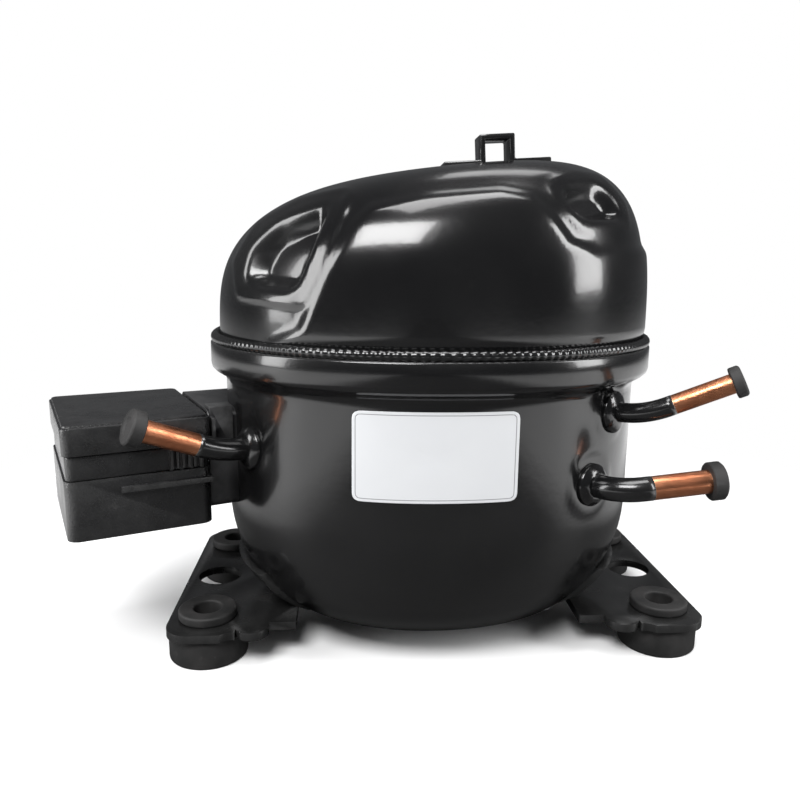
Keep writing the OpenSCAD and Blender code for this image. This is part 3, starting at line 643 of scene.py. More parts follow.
@dataclass(frozen=True)
class LabelFinish:
    """Blank satin film with a thin plain border, read from its own UV map."""

    name: str = "label_film"
    film: Point = (0.66, 0.67, 0.685)
    border: Point = (0.2, 0.2, 0.21)
    border_at: float = 0.035
    border_wide: float = 0.005

    def build(self, groups: Groups) -> bpy.types.Material:
        """Make the material.

        Args:
            groups: The shared shader groups.

        Returns:
            A material with a Principled shader.
        """
        material = bpy.data.materials.new(self.name)
        material.use_nodes = True
        canvas = Canvas(material.node_tree)
        shader = material.node_tree.nodes["Principled BSDF"]
        shader.inputs["Metallic"].default_value = 0.05
        grain = canvas.add("ShaderNodeGroup", node_tree=groups.grain)
        grain.inputs["Fine"].default_value = 2400.0
        edge = canvas.add("ShaderNodeUVMap", uv_map="inset").outputs[0]
        split = canvas.add("ShaderNodeSeparateXYZ", {0: edge})
        near = canvas.add("ShaderNodeMath", {0: split.outputs[0], 1: self.border_at},
                          operation="SUBTRACT")
        size = canvas.add("ShaderNodeMath", {0: near.outputs[0]}, operation="ABSOLUTE")
        line = canvas.ramp(size.outputs[0], self.border_wide * 0.6, self.border_wide, 1.0, 0.0)
        shade = canvas.ramp(grain.outputs["Slow mask"], 0.3, 0.7, 0.0, 0.35)
        film = canvas.blend(shade, self.film, (0.6, 0.61, 0.63))
        colour = canvas.blend(line, film, self.border)
        bump = canvas.add("ShaderNodeBump", {"Strength": 0.15, "Distance": 0.0001,
                                             "Height": grain.outputs["Height"]})
        rough = canvas.ramp(grain.outputs["Slow mask"], 0.3, 0.7, 0.32, 0.42)
        material.node_tree.links.new(colour, shader.inputs["Base Color"])
        material.node_tree.links.new(rough, shader.inputs["Roughness"])
        material.node_tree.links.new(bump.outputs[0], shader.inputs["Normal"])
        return material


class Palette:
    """Every finish, built once and looked up by name."""

    def __init__(self) -> None:
        """Build the materials."""
        groups = Groups()
        finishes = (BLACK_PAINT, PLATE_PAINT, RUBBER, COPPER, BOX_PLASTIC, CREAM_PLASTIC,
                    DARK_STEEL, STEEL, SHEET_STEEL, IRON, LAMINATION, WINDING, ALUMINIUM,
                    SEALING_GLASS, GASKET, BRONZE, BRAID, LabelFinish())
        self.materials = {finish.name: finish.build(groups) for finish in finishes}

    def __getitem__(self, finish: Finish | LabelFinish) -> bpy.types.Material:
        """Give the material of a finish."""
        return self.materials[finish.name]


# ---- Repeats made with geometry nodes ----


class Repeater:
    """Builds geometry node trees with named values and applies them to a plain mesh."""

    def __init__(self, name: str, values: dict[str, float]) -> None:
        """Start a tree.

        Args:
            name: Name of the tree and of the piece.
            values: Input names and values.
        """
        self.name, self.values = name, values
        self.tree = bpy.data.node_groups.new(name + "_tree", "GeometryNodeTree")
        self.tree.interface.new_socket("Geometry", in_out="OUTPUT",
                                       socket_type="NodeSocketGeometry")
        for label in values:
            self.tree.interface.new_socket(label, in_out="INPUT", socket_type="NodeSocketFloat")
        self.canvas = Canvas(self.tree)
        self.source = self.canvas.add("NodeGroupInput")

    def finish(self, instances: bpy.types.NodeSocket,
               material: bpy.types.Material) -> bpy.types.Object:
        """Realise the instances and give back a plain mesh object.

        Args:
            instances: Geometry output that holds the instances.
            material: Finish of the piece.

        Returns:
            The object, with its modifier gone.
        """
        real = self.canvas.add("GeometryNodeRealizeInstances", {0: instances})
        painted = self.canvas.add("GeometryNodeSetMaterial", {"Geometry": real.outputs[0]})
        painted.inputs["Material"].default_value = material
        target = self.canvas.add("NodeGroupOutput")
        self.tree.links.new(painted.outputs[0], target.inputs[0])
        obj = mesh_object(self.name, [(0, 0, 0)], [], recalculate=False)
        modifier = obj.modifiers.new("repeat", "NODES")
        modifier.node_group = self.tree
        for item in self.tree.interface.items_tree:
            if item.in_out == "INPUT":
                modifier[item.identifier] = self.values[item.name]
        obj = evaluated(obj)
        shade_by_angle(obj, 40)
        return obj


def coil_springs(low: float, high: float, material: bpy.types.Material) -> bpy.types.Object:
    """Four coil springs at the corners of the motor's bolt pattern.

    Args:
        low: Height of the lowest wire centre.
        high: Height of the highest wire centre.
        material: Finish of the wire.

    Returns:
        The four springs as one piece.
    """
    kit = Repeater("suspension_springs_coils", {
        "Coil radius": 5.2 * MM, "Wire radius": 0.8 * MM, "Turns": 5.0, "Height": high - low,
        "Pitch X": 80 * MM, "Pitch Y": 66 * MM, "Base": low})
    values = kit.source.outputs
    spiral = kit.canvas.add("GeometryNodeCurveSpiral", {
        "Resolution": 28, "Rotations": values["Turns"], "Start Radius": values["Coil radius"],
        "End Radius": values["Coil radius"], "Height": values["Height"]})
    wire = kit.canvas.add("GeometryNodeCurvePrimitiveCircle",
                          {"Resolution": 10, "Radius": values["Wire radius"]})
    solid = kit.canvas.add("GeometryNodeCurveToMesh", {
        "Curve": spiral.outputs[0], "Profile Curve": wire.outputs[0], "Fill Caps": True})
    corners = kit.canvas.add("GeometryNodeMeshGrid", {
        "Size X": values["Pitch X"], "Size Y": values["Pitch Y"], "Vertices X": 2,
        "Vertices Y": 2})
    lift = kit.canvas.add("ShaderNodeCombineXYZ", {2: values["Base"]})
    placed = kit.canvas.add("GeometryNodeSetPosition", {"Geometry": corners.outputs[0],
                                                        "Offset": lift.outputs[0]})
    copies = kit.canvas.add("GeometryNodeInstanceOnPoints", {
        "Points": placed.outputs[0], "Instance": solid.outputs[0]})
    return kit.finish(copies.outputs[0], material)


def grip_ribs(place: Matrix, count: int, pitch: float, size: Point,
              material: bpy.types.Material) -> bpy.types.Object:
    """Row of small upright ribs.

    Args:
        place: Turns and moves the row; it runs along the first axis.
        count: Number of ribs.
        pitch: Spacing.
        size: Width, depth and height of one rib.
        material: Finish.

    Returns:
        The ribs as one piece.
    """
    kit = Repeater("box_grip_ribs", {"Pitch": pitch, "Width": size[0], "Depth": size[1],
                                     "Height": size[2]})
    values = kit.source.outputs
    box_size = kit.canvas.add("ShaderNodeCombineXYZ", {
        0: values["Width"], 1: values["Depth"], 2: values["Height"]})
    rib = kit.canvas.add("GeometryNodeMeshCube", {"Size": box_size.outputs[0]})
    step = kit.canvas.add("ShaderNodeCombineXYZ", {0: values["Pitch"]})
    line = kit.canvas.add("GeometryNodeMeshLine", {"Count": count, "Offset": step.outputs[0]})
    copies = kit.canvas.add("GeometryNodeInstanceOnPoints", {
        "Points": line.outputs[0], "Instance": rib.outputs[0]})
    obj = kit.finish(copies.outputs[0], material)
    obj.data.transform(place)
    return obj


# ---- Shell ----


@dataclass(frozen=True)
class ShellSize:
    """Sizes of the vessel in millimetres."""

    centre_x: float = -1.6
    power: float = 2.15
    body: tuple[float, float] = (78.3, 67.7)
    lid: tuple[float, float] = (80.2, 69.6)
    wall: float = 3.0
    floor: float = 9.0
    bottom_rise: float = 46.0
    bottom_in: float = 38.0
    joggle: tuple[tuple[float, float], ...] = (
        (0.0, 99.0), (0.35, 100.3), (1.2, 101.5), (2.7, 102.4), (4.2, 103.4), (5.1, 104.4),
        (5.4, 105.6), (5.4, 109.0), (5.4, 112.8), (5.0, 113.5))
    spring_line: float = 113.0
    dome: tuple[float, float, float] = (63.0, 10.0, 3.5)
    dome_power: float = 3.5
    bead: tuple[float, float] = (3.5, 115.05)
    bead_size: tuple[float, float] = (1.75, 1.75)
    ripples: tuple[float, float] = (200.0, 0.07)
    waver: tuple[float, float] = (11.0, 0.03)
    lid_points: int = 280
    lid_steps: int = 96
    lower_points: int = 300
    bead_points: int = 1320
    bead_sides: int = 14
    slope_length: float = 80.0


@dataclass(frozen=True)
class Pressing:
    """Outline pressed into the lid or out of it, in X and Z millimetres."""

    outline: tuple[tuple[float, float], ...]
    depth: float
    edge: float
    ridge: float = 0.0
    bowl: bool = False

    def bowl_share(self, x: float, z: float) -> float:
        """Share of the depth inside an outline that bulges everywhere, without creases."""
        corners = list(zip(self.outline, self.outline[1:] + self.outline[:1]))
        turn = math.copysign(1.0, sum(x0 * z1 - x1 * z0 for (x0, z0), (x1, z1) in corners))
        share = 1.0
        for (x0, z0), (x1, z1) in corners:
            across = (x1 - x0) * (z - z0) - (z1 - z0) * (x - x0)
            share *= smoothstep(turn * across / math.hypot(x1 - x0, z1 - z0) / self.edge)
        return share

    def offset(self, x: float, z: float) -> float:
        """Give the outward movement of the sheet at a point.

        Args:
            x: X of the point.
            z: Z of the point.

        Returns:
            Movement in millimetres, negative inwards.
        """
        inside = inside_distance(x, z, self.outline)
        rim = self.ridge * math.exp(-((inside + 1.8) / 1.3) ** 2)
        share = self.bowl_share(x, z) if self.bowl else smoothstep(inside / self.edge)
        return self.depth * share + rim


SCOOP = Pressing(((-35, 163.7), (-49, 161.3), (-63, 153.9), (-69.8, 142.2), (-68.1, 133.1),
                  (-48.2, 131.6), (-43.4, 141.8), (-37.3, 157.1)), -6.4, 6.5, 0.6, True)
RECESS = Pressing(((32.8, 166.8), (41.3, 170.9), (52.3, 170.9), (59.7, 162.6), (59.7, 156.8),
                   (41.6, 155.3), (34.8, 161.1)), -4.4, 5.0, 0.35, True)
BULGE = Pressing(((-60, 118), (-50, 124), (-43, 140), (-34, 156), (-27, 162), (-11, 165.3),
                  (14, 167.5), (25, 166), (32, 158.5), (37, 152), (46, 149.5), (64, 151),
                  (90, 150), (90, 100), (-60, 100)), 1.5, 5.0)


class Shell:
    """The welded vessel: lid, lower half and weld bead."""

    def __init__(self, size: ShellSize, palette: Palette, bosses: Sequence["TubeSize"]) -> None:
        """Keep the sizes, the finishes and the tubes that the lower half is flattened for."""
        self.size, self.palette, self.bosses = size, palette, bosses

    def oval(self, angle: float, half: tuple[float, float], share: float = 1.0) -> Vector:
        """Point on the shell's oval, in millimetres, at height 0."""
        power = 2 / self.size.power
        return Vector((self.size.centre_x + share * half[0] * signed_power(math.cos(angle), power),
                       share * half[1] * signed_power(math.sin(angle), power), 0))

    def ring(self, half: tuple[float, float], z: float, count: int, share: float = 1.0) -> Ring:
        """Level ring on the oval, in millimetres."""
        return [tuple(self.oval(2 * math.pi * i / count, half, share) + Vector((0, 0, z)))
                for i in range(count)]

    def dome_steps(self, count: int) -> list[float]:
        """Angles on the lid's profile that are evenly spaced along the sheet."""
        profile = [math.radians(90 * i / 1500) for i in range(1501)]
        power = 2 / self.size.dome_power
        flat = [(70 * math.sin(t) ** power, 64 * max(math.cos(t), 0) ** power) for t in profile]
        lengths = [0.0]
        for (r0, z0), (r1, z1) in zip(flat, flat[1:]):
            lengths.append(lengths[-1] + math.hypot(r1 - r0, z1 - z0))
        steps, k = [], 0
        for i in range(count):
            wanted = lengths[-1] * (1 - i / count)
            k = next(n for n, length in enumerate(lengths) if length >= wanted)
            steps.append(profile[k])
        return steps

    def dome_ring(self, t: float, inset: float, count: int) -> Ring:
        """Ring on the pressed lid.

        Args:
            t: Angle on the profile, 90 degrees at the spring line.
            inset: Distance inside the outer face.
            count: Points in the ring.

        Returns:
            The ring, in millimetres.
        """
        size, power = self.size, 2 / self.size.dome_power
        share, rise = math.sin(t) ** power, max(math.cos(t), 0.0) ** power
        half = (size.lid[0] - inset, size.lid[1] - inset)
        ring = []
        for i in range(count):
            here = self.oval(2 * math.pi * i / count, half, share)
            u = (here.x - size.centre_x) / size.slope_length
            height = size.dome[0] + size.dome[1] * u + size.dome[2] * u ** 3 - inset
            here.z = size.spring_line + height * rise
            around = Vector((here.x - size.centre_x, here.y, 0))
            slope = Vector((around.x / half[0] ** 2, around.y / half[1] ** 2, 0)).normalized()
            out = (slope * share ** 2.5 + Vector((0, 0, 1.1 * rise ** 2.5))).normalized()
            move = sum(p.offset(here.x, here.z) for p in (SCOOP, RECESS, BULGE))
            facing = smoothstep(abs(around.y) / 22) * smoothstep((here.z - 114) / 6)
            ring.append(tuple(here + out * move * facing))
        return ring

    def build_lid(self) -> bpy.types.Object:
        """Build the pressed lid."""
        size, count = self.size, self.size.lid_points
        steps = self.dome_steps(size.lid_steps)
        inner_half = (size.lid[0] - size.wall, size.lid[1] - size.wall)
        rings = [self.dome_ring(t, size.wall, count) for t in reversed(steps[::3])]
        rings += [self.ring(inner_half, z, count) for z in (112, 108.2)]
        rings += [self.ring((inner_half[0] + d, inner_half[1] + d), z, count)
                  for d, z in ((0.5, 107.6), (2.5, 107.6))]
        rings += [self.ring(size.lid, z, count) for z in (108.1, 110.5)]
        rings += [self.dome_ring(t, 0, count) for t in steps]
        return loft("upper_shell_pressing", [scaled(ring) for ring in rings])

    def flattened(self, ring: Ring, inset: float) -> Ring:
        """Press flat round faces into a ring where the tubes enter."""
        result = []
        for point in ring:
            here = Vector(point)
            for tube in self.bosses:
                gap = here - Vector(tube.at)
                out = Vector(tube.out).normalized()
                flat = gap - out * gap.dot(out)
                if gap.length < 30:
                    press = smoothstep((tube.boss - flat.length) / 3.5)
                    here = here - out * (gap.dot(out) + inset + 0.15) * press
            result.append(tuple(here))
        return result

    def build_lower(self) -> bpy.types.Object:
        """Build the drawn lower half."""
        size, count = self.size, self.size.lower_points
        turns = [math.radians(90 * i / 26) for i in range(27)]
        outer = [(0.25, size.floor, 0.0)]
        outer += [(1 - size.bottom_in / size.body[0] * (1 - math.sin(t)),
                   size.floor + size.bottom_rise * (1 - math.cos(t)), 0.0) for t in turns]
        outer += [(1.0, 55 + 44 * i / 32, 0.0) for i in range(1, 32)]
        outer += [(1.0, z, offset) for offset, z in size.joggle]
        inner = [(share, max(z, size.floor) + (size.wall if z < 55 else 0), offset - size.wall)
                 for share, z, offset in reversed(outer[::2])]
        rings = []
        for rows, inset in ((outer, 0.0), (inner, size.wall)):
            for share, z, offset in rows:
                half = (size.body[0] + offset, size.body[1] + offset)
                rings.append(self.flattened(self.ring(half, z, count, share), inset))
        return loft("lower_shell_drawing", [scaled(ring) for ring in rings])

    def build_bead(self) -> bpy.types.Object:
        """Build the weld bead, with the ripples that the torch leaves."""
        size, count, sides = self.size, self.size.bead_points, self.size.bead_sides
        rings = []
        for i in range(count):
            angle = 2 * math.pi * i / count
            middle = self.oval(angle, (size.body[0] + size.bead[0], size.body[1] + size.bead[0]))
            ahead = self.oval(angle + 0.001, (size.body[0] + size.bead[0],
                                              size.body[1] + size.bead[0]))
            out = (ahead - middle).cross(Vector((0, 0, 1))).normalized()
            ripple = 1 + sum(height * math.sin(rate * angle)
                             for rate, height in (size.ripples, size.waver))
            ring = []
            for k in range(sides):
                a = 2 * math.pi * k / sides
                ring.append(tuple(middle + out * size.bead_size[0] * ripple * math.cos(a)
                                  + Vector((0, 0, size.bead[1] + size.bead_size[1]
                                            * ripple * math.sin(a)))))
            rings.append(ring)
        return loft("weld_seam_bead", [scaled(ring) for ring in rings], closed=True)

    def dress(self) -> None:
        """Build and finish all three."""
        paint = self.palette[BLACK_PAINT]
        for obj, node in ((self.build_lid(), "upper_shell"), (self.build_lower(), "lower_shell"),
                          (self.build_bead(), "weld_seam")):
            dress(obj, paint, Body.SHELL, "black_paint", [node])


def scaled(ring: Ring) -> Ring:
    """Turn a ring from millimetres to metres."""
    return [(x * MM, y * MM, z * MM) for x, y, z in ring]


# ---- Label ----


@dataclass(frozen=True)
class LabelSize:
    """Place of the label on the shell: oval angles in degrees, heights in millimetres."""

    angles: tuple[float, float] = (248.8, 285.2)
    heights: tuple[float, float] = (67.4, 97.1)
    shares: tuple[float, float] = (1.0018, 1.0065)
    corner: float = 0.09


class Label:
    """Blank film that follows the shell."""

    def __init__(self, size: LabelSize, shell: Shell) -> None:
        """Keep the sizes and the shell it lies on."""
        self.size, self.shell = size, shell

    def dress(self) -> None:
        """Build the film and its edge map, and finish it."""
        size, wide = self.size, 1.55
        corners = [(0, 0), (wide, 0), (wide, 1), (0, 1)]
        fine = []
        for (x0, y0), (x1, y1) in zip(corners, corners[1:] + corners[:1]):
            fine += [(x0 + (x1 - x0) * k / 24, y0 + (y1 - y0) * k / 24) for k in range(24)]
        outline = rounded(corners, size.corner, 8)
        border = [nearest_on(outline, (wide / 2, 0.5), point) for point in fine]
        spans = (1.0, 0.99, 0.97, 0.95, 0.93, 0.91, 0.86, 0.7, 0.45, 0.15)
        rings, depths = [], []
        for share, order in ((size.shares[0], reversed(spans)), (size.shares[1], spans)):
            for span in order:
                ring = []
                for u, v in border:
                    a, b = wide / 2 + (u - wide / 2) * span, 0.5 + (v - 0.5) * span
                    angle = math.radians(size.angles[0] + a / wide
                                         * (size.angles[1] - size.angles[0]))
                    here = self.shell.oval(angle, self.shell.size.body, share)
                    here.z = size.heights[0] + b * (size.heights[1] - size.heights[0])
                    ring.append(tuple(here))
                    depths.append(max(inside_distance(a, b, outline), 0.0))
                rings.append(scaled(ring))
        obj = loft("blank_label_film", rings)
        layer = obj.data.uv_layers.new(name="inset")
        for loop in obj.data.loops:
            depth = depths[loop.vertex_index] if loop.vertex_index < len(depths) else 0.5
            layer.data[loop.index].uv = (depth, 0.5)
        dress(obj, self.shell.palette[LabelFinish()], Body.SHELL, "silver_label",
              ["blank_label"])


def nearest_on(outline: Sequence[tuple[float, float]], centre: tuple[float, float],
               target: tuple[float, float]) -> tuple[float, float]:
    """Where the line from a centre towards a point leaves an outline.

    Args:
        outline: Corners of a closed outline round the centre.
        centre: Start of the line.
        target: Point the line runs towards.

    Returns:
        The crossing point.
    """
    low, high = 0.0, 1.2
    for _ in range(26):
        middle = (low + high) / 2
        x = centre[0] + (target[0] - centre[0]) * middle
        y = centre[1] + (target[1] - centre[1]) * middle
        if inside_distance(x, y, outline) > 0:
            low = middle
        else:
            high = middle
    return (centre[0] + (target[0] - centre[0]) * low, centre[1] + (target[1] - centre[1]) * low)


# ---- Tubes ----


@dataclass(frozen=True)
class TubeSize:
    """One tube, in millimetres: where it enters, which way it leaves, and its sizes."""

    name: str
    at: Point
    out: Point
    way: Point
    length: float
    diameter: float
    bend: float
    cap_body: str
    straight: float = 12.0
    inside: float = 6.0
    wall: float = 0.9
    bare: float = 19.0
    boss: float = 12.5
    paint: float = 0.08


TUBES = (
    TubeSize("suction", (49.9, -53.1, 68.5), (0.576, -0.817, 0.05), (33.3, -1, 4), 29, 8.0,
             9, "suction_cap"),
    TubeSize("discharge", (58.1, -46.2, 92.6), (0.7, -0.71, 0.07), (26, -10.5, 13.2), 28.4, 6.6,
             12, "discharge_cap", boss=11.0),
    TubeSize("process", (-67.6, -39.1, 78.6), (-0.79, -0.61, 0.09), (-22.5, -13, 10.5), 27, 7.6,
             16, "process_cap", boss=11.5),
)


class Tube:
    """A tube painted near the shell and bare at its end, with its collar and its plug."""

    def __init__(self, size: TubeSize, palette: Palette) -> None:
        """Keep the sizes and the finishes."""
        self.size, self.palette = size, palette
        self.start = Vector(size.at)
        self.out, self.way = Vector(size.out).normalized(), Vector(size.way).normalized()
        self.corner = self.start + size.straight * self.out
        self.mask_line = self.corner + (size.length - size.bare) * self.way

    def pipe(self, name: str, route: Sequence[Vector], extra: float) -> bpy.types.Object:
        """Hollow length of tube along a route."""
        size = self.size
        outer = route_rings(route, size.diameter / 2 + extra, 40)
        inner = route_rings(route, size.diameter / 2 - size.wall, 40)
        return loft(name, [scaled(ring) for ring in outer + inner[::-1]], closed=True)

    def dress(self) -> None:
        """Build and finish the tube, its collar and its plug."""
        size, name = self.size, self.size.name
        corners = [self.start - size.inside * self.out, self.corner, self.mask_line]
        bend = min(size.bend, 0.8 * (size.length - size.bare))
        painted = self.pipe(name + "_tube_painted", bent_route(corners, bend, 20), size.paint)
        dress(painted, self.palette[BLACK_PAINT], Body.SHELL, "black_paint", [name + "_tube"])
        end = self.corner + size.length * self.way
        lengths = [self.mask_line.lerp(end, t) for t in (0, 0.02, 0.5, 0.98, 1)]
        bare = self.pipe(name + "_tube_bare", lengths, 0.0)
        shade_by_angle(bare, 50)
        dress(bare, self.palette[COPPER], Body.SHELL, "copper_tube", [name + "_tube"])
        collar = softened(name + "_collar", 0.35 * MM)
        dress(collar, self.palette[BLACK_PAINT], Body.SHELL, "black_paint", [name + "_collar"])
        plug = softened(name + "_plug", 0.3 * MM)
        dress(plug, self.palette[RUBBER], size.cap_body, "black_rubber", [name + "_plug"])


# ---- Feet ----


class Grommets:
    """Four rubber grommets in the base plates."""

    profile = ((5, 0), (14.2, 0), (14.2, 11.1), (8.3, 11.1), (8.3, 14.1), (10.5, 14.1),
               (10.5, 17.6), (5, 17.6))

    def __init__(self, palette: Palette) -> None:
        """Keep the finishes."""
        self.palette = palette

    def dress(self) -> None:
        """Build and finish each grommet."""
        profile = rounded(self.profile, 1.0, 5)
        for end, side in (("left", Side.LEFT), ("right", Side.RIGHT)):
            for depth, y in (("front", -35), ("rear", 35)):
                base = Vector((side.value * 85, y, 0)) * MM
                obj = revolve(f"grommet_{depth}_{end}_moulding",
                              [(r * MM, z * MM) for r, z in profile], base, Vector((0, 0, 1)))
                dress(obj, self.palette[RUBBER], Body.SHELL, "black_rubber",
                      [f"grommet_{depth}_{end}"])


# ---- Everything else takes the CAD shape with its edges rounded ----


@dataclass(frozen=True)
class Dressing:
    """CAD nodes that share a body, a finish and an edge rounding in millimetres.

    held_at, when set, marks a piece that spans the shell and the pump; it keeps its place and
    rides on no body, and its value is not used.
    """

    nodes: tuple[str, ...]
    body: Body | str
    finish: Finish
    slot: str
    edge: float = 0.25
    held_at: float | None = None


DRESSINGS = (
    Dressing(("base_plate_left", "base_plate_right"), Body.SHELL, PLATE_PAINT, "black_paint", 0.7),
    Dressing(("lid_bracket",), Body.SHELL, BLACK_PAINT, "black_paint", 0.5),
    Dressing(("terminal_cup", "terminal_pins", "spring_posts"), Body.SHELL, STEEL, "steel"),
    Dressing(("terminal_fence", "box_clip"), Body.SHELL, DARK_STEEL, "steel"),
    Dressing(("terminal_glass",), Body.SHELL, SEALING_GLASS, "sealing_glass", 0.1),
    Dressing(("earth_screw",), Body.SHELL, BRONZE, "bronze", 0.2),
    Dressing(("starter_housing", "junction_box"), Body.BOX, BOX_PLASTIC, "black_plastic", 0.8),
    Dressing(("box_lid",), Body.COVER, BOX_PLASTIC, "black_plastic", 1.0),
    Dressing(("overload_protector",), Body.BOX, BOX_PLASTIC, "black_plastic", 0.4),
    Dressing(("ptc_starter",), Body.BOX, CREAM_PLASTIC, "cream_plastic", 0.4),
    Dressing(("spring_caps", "winding_connector", "suction_muffler", "muffler_cap"), Body.PUMP,
             CREAM_PLASTIC, "cream_plastic", 0.4),
    Dressing(("stator_core",), Body.PUMP, LAMINATION, "lamination", 0.2),
    Dressing(("motor_windings",), Body.PUMP, WINDING, "winding", 0.8),
    Dressing(("stator_bolts", "valve_plate", "reed_stop", "head_bolts", "discharge_dome"),
             Body.PUMP, STEEL, "steel"),
    Dressing(("inner_leads",), Body.PUMP, BRAID, "lead_sleeve", 0.1, 73.0),
    Dressing(("cylinder_block",), Body.PUMP, IRON, "grey_iron", 0.5),
    Dressing(("head_gaskets",), Body.PUMP, GASKET, "gasket_fibre", 0.05),
    Dressing(("cylinder_head",), Body.PUMP, ALUMINIUM, "cast_aluminium", 0.6),
    Dressing(("shock_loop",), Body.PUMP, COPPER, "copper_tube", 0.05, 92.0),
    Dressing(("thrust_washer",), Body.PUMP, BRONZE, "bronze", 0.1),
    Dressing(("crankshaft", "counterweight"), Body.CRANK, STEEL, "steel", 0.3),
    Dressing(("oil_pickup", "rotor_cage"), Body.CRANK, ALUMINIUM, "cast_aluminium", 0.2),
    Dressing(("rotor_core",), Body.CRANK, LAMINATION, "lamination", 0.2),
    Dressing(("duct_ball",), "oil_duct_ball", STEEL, "steel", 0.02),
    Dressing(("slide_block",), "yoke_block", STEEL, "steel", 0.3),
    Dressing(("piston",), "piston_body", IRON, "grey_iron", 0.2),
    Dressing(("suction_reed",), "suction_valve", SHEET_STEEL, "steel", 0.02),
    Dressing(("discharge_reed",), "discharge_valve", SHEET_STEEL, "steel", 0.02),
)


class Workings:
    """Plates, box, terminal and everything inside the shell."""

    def __init__(self, palette: Palette) -> None:
        """Keep the finishes."""
        self.palette = palette

    def dress(self) -> None:
        """Finish every CAD node in the table, then the springs."""
        for row in DRESSINGS:
            for node in row.nodes:
                obj = softened(node, row.edge * MM)
                stretch = (row.held_at * MM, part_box(node)[1].z) if row.held_at else None
                dress(obj, self.palette[row.finish], row.body, row.slot, [node], stretch)
        low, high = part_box("suspension_springs")
        wire = 0.8 * MM
        springs = coil_springs(low.z + wire, high.z - wire, self.palette[STEEL])
        dress(springs, self.palette[STEEL], Body.PUMP, "steel", ["suspension_springs"],
              (low.z + wire, high.z - wire))

    def dress_ribs(self) -> None:
        """Add the finger grip on the front of the starter housing."""
        along, front = Vector((-0.9135, -0.4067, 0)), Vector((0.4067, -0.9135, 0))
        turn = Matrix((along, front, Vector((0, 0, 1)))).transposed().to_4x4()
        start = Vector((-79, -9, 0)) + along * 18.2 + front * 29.25 + Vector((0, 0, 76.8))
        ribs = grip_ribs(Matrix.Translation(start * MM) @ turn, 6, 1.9 * MM,
                         (0.8 * MM, 0.9 * MM, 6.4 * MM), self.palette[BOX_PLASTIC])
        dress(ribs, self.palette[BOX_PLASTIC], Body.BOX, "black_plastic")


# ---- Studio ----


@dataclass(frozen=True)
class Lamp:
    """Soft rectangular lamp that looks at the object."""

    name: str
    at: Point
    size: tuple[float, float]
    watts: float


LAMPS = (
    Lamp("key", (-0.35, -0.75, 0.95), (0.6, 0.4), 16.0),
    Lamp("right", (0.95, -0.35, 0.5), (0.35, 0.7), 9.0),
    Lamp("left", (-0.95, -0.25, 0.4), (0.3, 0.7), 7.0),
    Lamp("top", (0.05, -0.1, 1.1), (0.7, 0.4), 8.0),
    Lamp("rear", (0.3, 0.9, 1.3), (0.5, 0.3), 1.2),
)


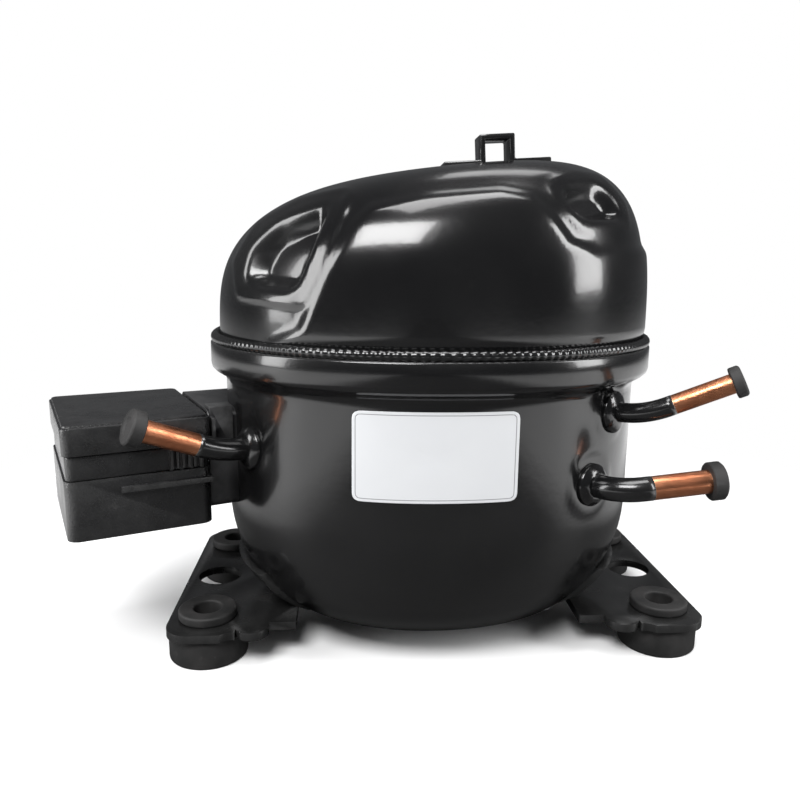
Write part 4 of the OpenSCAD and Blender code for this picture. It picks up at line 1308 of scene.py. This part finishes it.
class Studio:
    """Pale floor, white surround, soft lamps and the camera."""

    aim = Vector((0, 0, 0.09))
    camera_at = (-0.03279, -0.29266, 0.14504)
    camera_turn = (-3.94, 11.03, 0.64)
    lens = 33.45
    # Painted shade: the floor's colour in front of the object, seen only in reflections
    floor_painted_shade = (0.07, 0.07, 0.07)
    card = (0.9, 0.9, 0.9)
    card_edge = (0.17, 0.26)
    floor_fade = (0.17, 0.34)
    surround_dim = (0.11, 0.112, 0.116)

    def build(self) -> None:
        """Build the surroundings."""
        self.floor()
        self.surround()
        for lamp in LAMPS:
            self.lamp(lamp)
        self.camera()

    def floor(self) -> None:
        """Lay the floor."""
        reach = 4.0
        obj = mesh_object("floor", [(-reach, -reach, 0), (reach, -reach, 0), (reach, reach, 0),
                                    (-reach, reach, 0)], [(0, 1, 2, 3)])
        material = bpy.data.materials.new("floor_white")
        material.use_nodes = True
        canvas = Canvas(material.node_tree)
        shader = material.node_tree.nodes["Principled BSDF"]
        shader.inputs["Roughness"].default_value = 0.6
        rays = canvas.add("ShaderNodeLightPath")
        place = canvas.add("ShaderNodeTexCoord").outputs["Object"]
        split = canvas.add("ShaderNodeSeparateXYZ", {0: place})
        aside = canvas.add("ShaderNodeMath", {0: split.outputs[0]}, operation="ABSOLUTE")
        sides = canvas.ramp(aside.outputs[0], *self.card_edge, 0.0, 1.0)
        # Painted shade: to every ray but the camera's the floor is near black in front of the
        # object and pale at the sides, so the shell's paint reflects painted shade there; the
        # camera sees it plain pale
        seen = canvas.blend(sides, self.floor_painted_shade, self.card)
        colour = canvas.blend(rays.outputs["Is Camera Ray"], seen, (0.93, 0.93, 0.93))
        reach_out = canvas.add("ShaderNodeVectorMath", {0: place}, operation="LENGTH")
        far = canvas.ramp(reach_out.outputs["Value"], *self.floor_fade, 0.0, 1.0)
        clear = canvas.add("ShaderNodeBsdfTransparent")
        fade = canvas.add("ShaderNodeMath", {0: far, 1: rays.outputs["Is Camera Ray"]},
                          operation="MULTIPLY")
        mixed = canvas.add("ShaderNodeMixShader", {0: fade.outputs[0], 1: shader.outputs[0],
                                                   2: clear.outputs[0]})
        output = material.node_tree.nodes["Material Output"]
        material.node_tree.links.new(colour, shader.inputs["Base Color"])
        material.node_tree.links.new(mixed.outputs[0], output.inputs["Surface"])
        obj.data.materials.append(material)

    def surround(self) -> None:
        """Light the world: plain white to the camera, dimmer to the object."""
        world = bpy.data.worlds.new("surround")
        bpy.context.scene.world = world
        world.use_nodes = True
        canvas = Canvas(world.node_tree)
        background = world.node_tree.nodes["Background"]
        rays = canvas.add("ShaderNodeLightPath")
        colour = canvas.blend(rays.outputs["Is Camera Ray"], self.surround_dim, (1, 1, 1))
        world.node_tree.links.new(colour, background.inputs["Color"])
        background.inputs["Strength"].default_value = 1.0

    def lamp(self, lamp: Lamp) -> None:
        """Hang one lamp.

        Args:
            lamp: Its place, size and power.
        """
        data = bpy.data.lights.new(lamp.name, "AREA")
        data.shape = "RECTANGLE"
        data.size, data.size_y = lamp.size
        data.energy = lamp.watts
        obj = bpy.data.objects.new(lamp.name, data)
        bpy.context.scene.collection.objects.link(obj)
        obj.location = lamp.at
        obj.rotation_euler = (self.aim - Vector(lamp.at)).to_track_quat("-Z", "Y").to_euler()

    def camera(self) -> None:
        """Set the camera."""
        yaw, pitch, roll = (math.radians(v) for v in self.camera_turn)
        right = Vector((math.cos(yaw), math.sin(yaw), 0))
        ahead = Vector((-math.sin(yaw) * math.cos(pitch), math.cos(yaw) * math.cos(pitch),
                        -math.sin(pitch)))
        up = right.cross(ahead)
        across = math.cos(roll) * right + math.sin(roll) * up
        above = -math.sin(roll) * right + math.cos(roll) * up
        data = bpy.data.cameras.new("camera")
        data.lens, data.sensor_width = self.lens, 36.0
        data.clip_start = 0.01
        obj = bpy.data.objects.new("camera", data)
        bpy.context.scene.collection.objects.link(obj)
        turn = Matrix((across, above, -ahead)).transposed().to_4x4()
        obj.matrix_world = Matrix.Translation(self.camera_at) @ turn
        bpy.context.scene.camera = obj
        bpy.context.scene.view_settings.view_transform = "Standard"


def main() -> None:
    """Build the looks in order."""
    logging.basicConfig(level=logging.INFO, format="%(message)s")
    palette = Palette()
    shell = Shell(ShellSize(), palette, TUBES)
    shell.dress()
    Label(LabelSize(), shell).dress()
    for size in TUBES:
        Tube(size, palette).dress()
    Grommets(palette).dress()
    workings = Workings(palette)
    workings.dress()
    workings.dress_ribs()
    Studio().build()
    LOG.info("done")


if __name__ == "__main__":
    main()
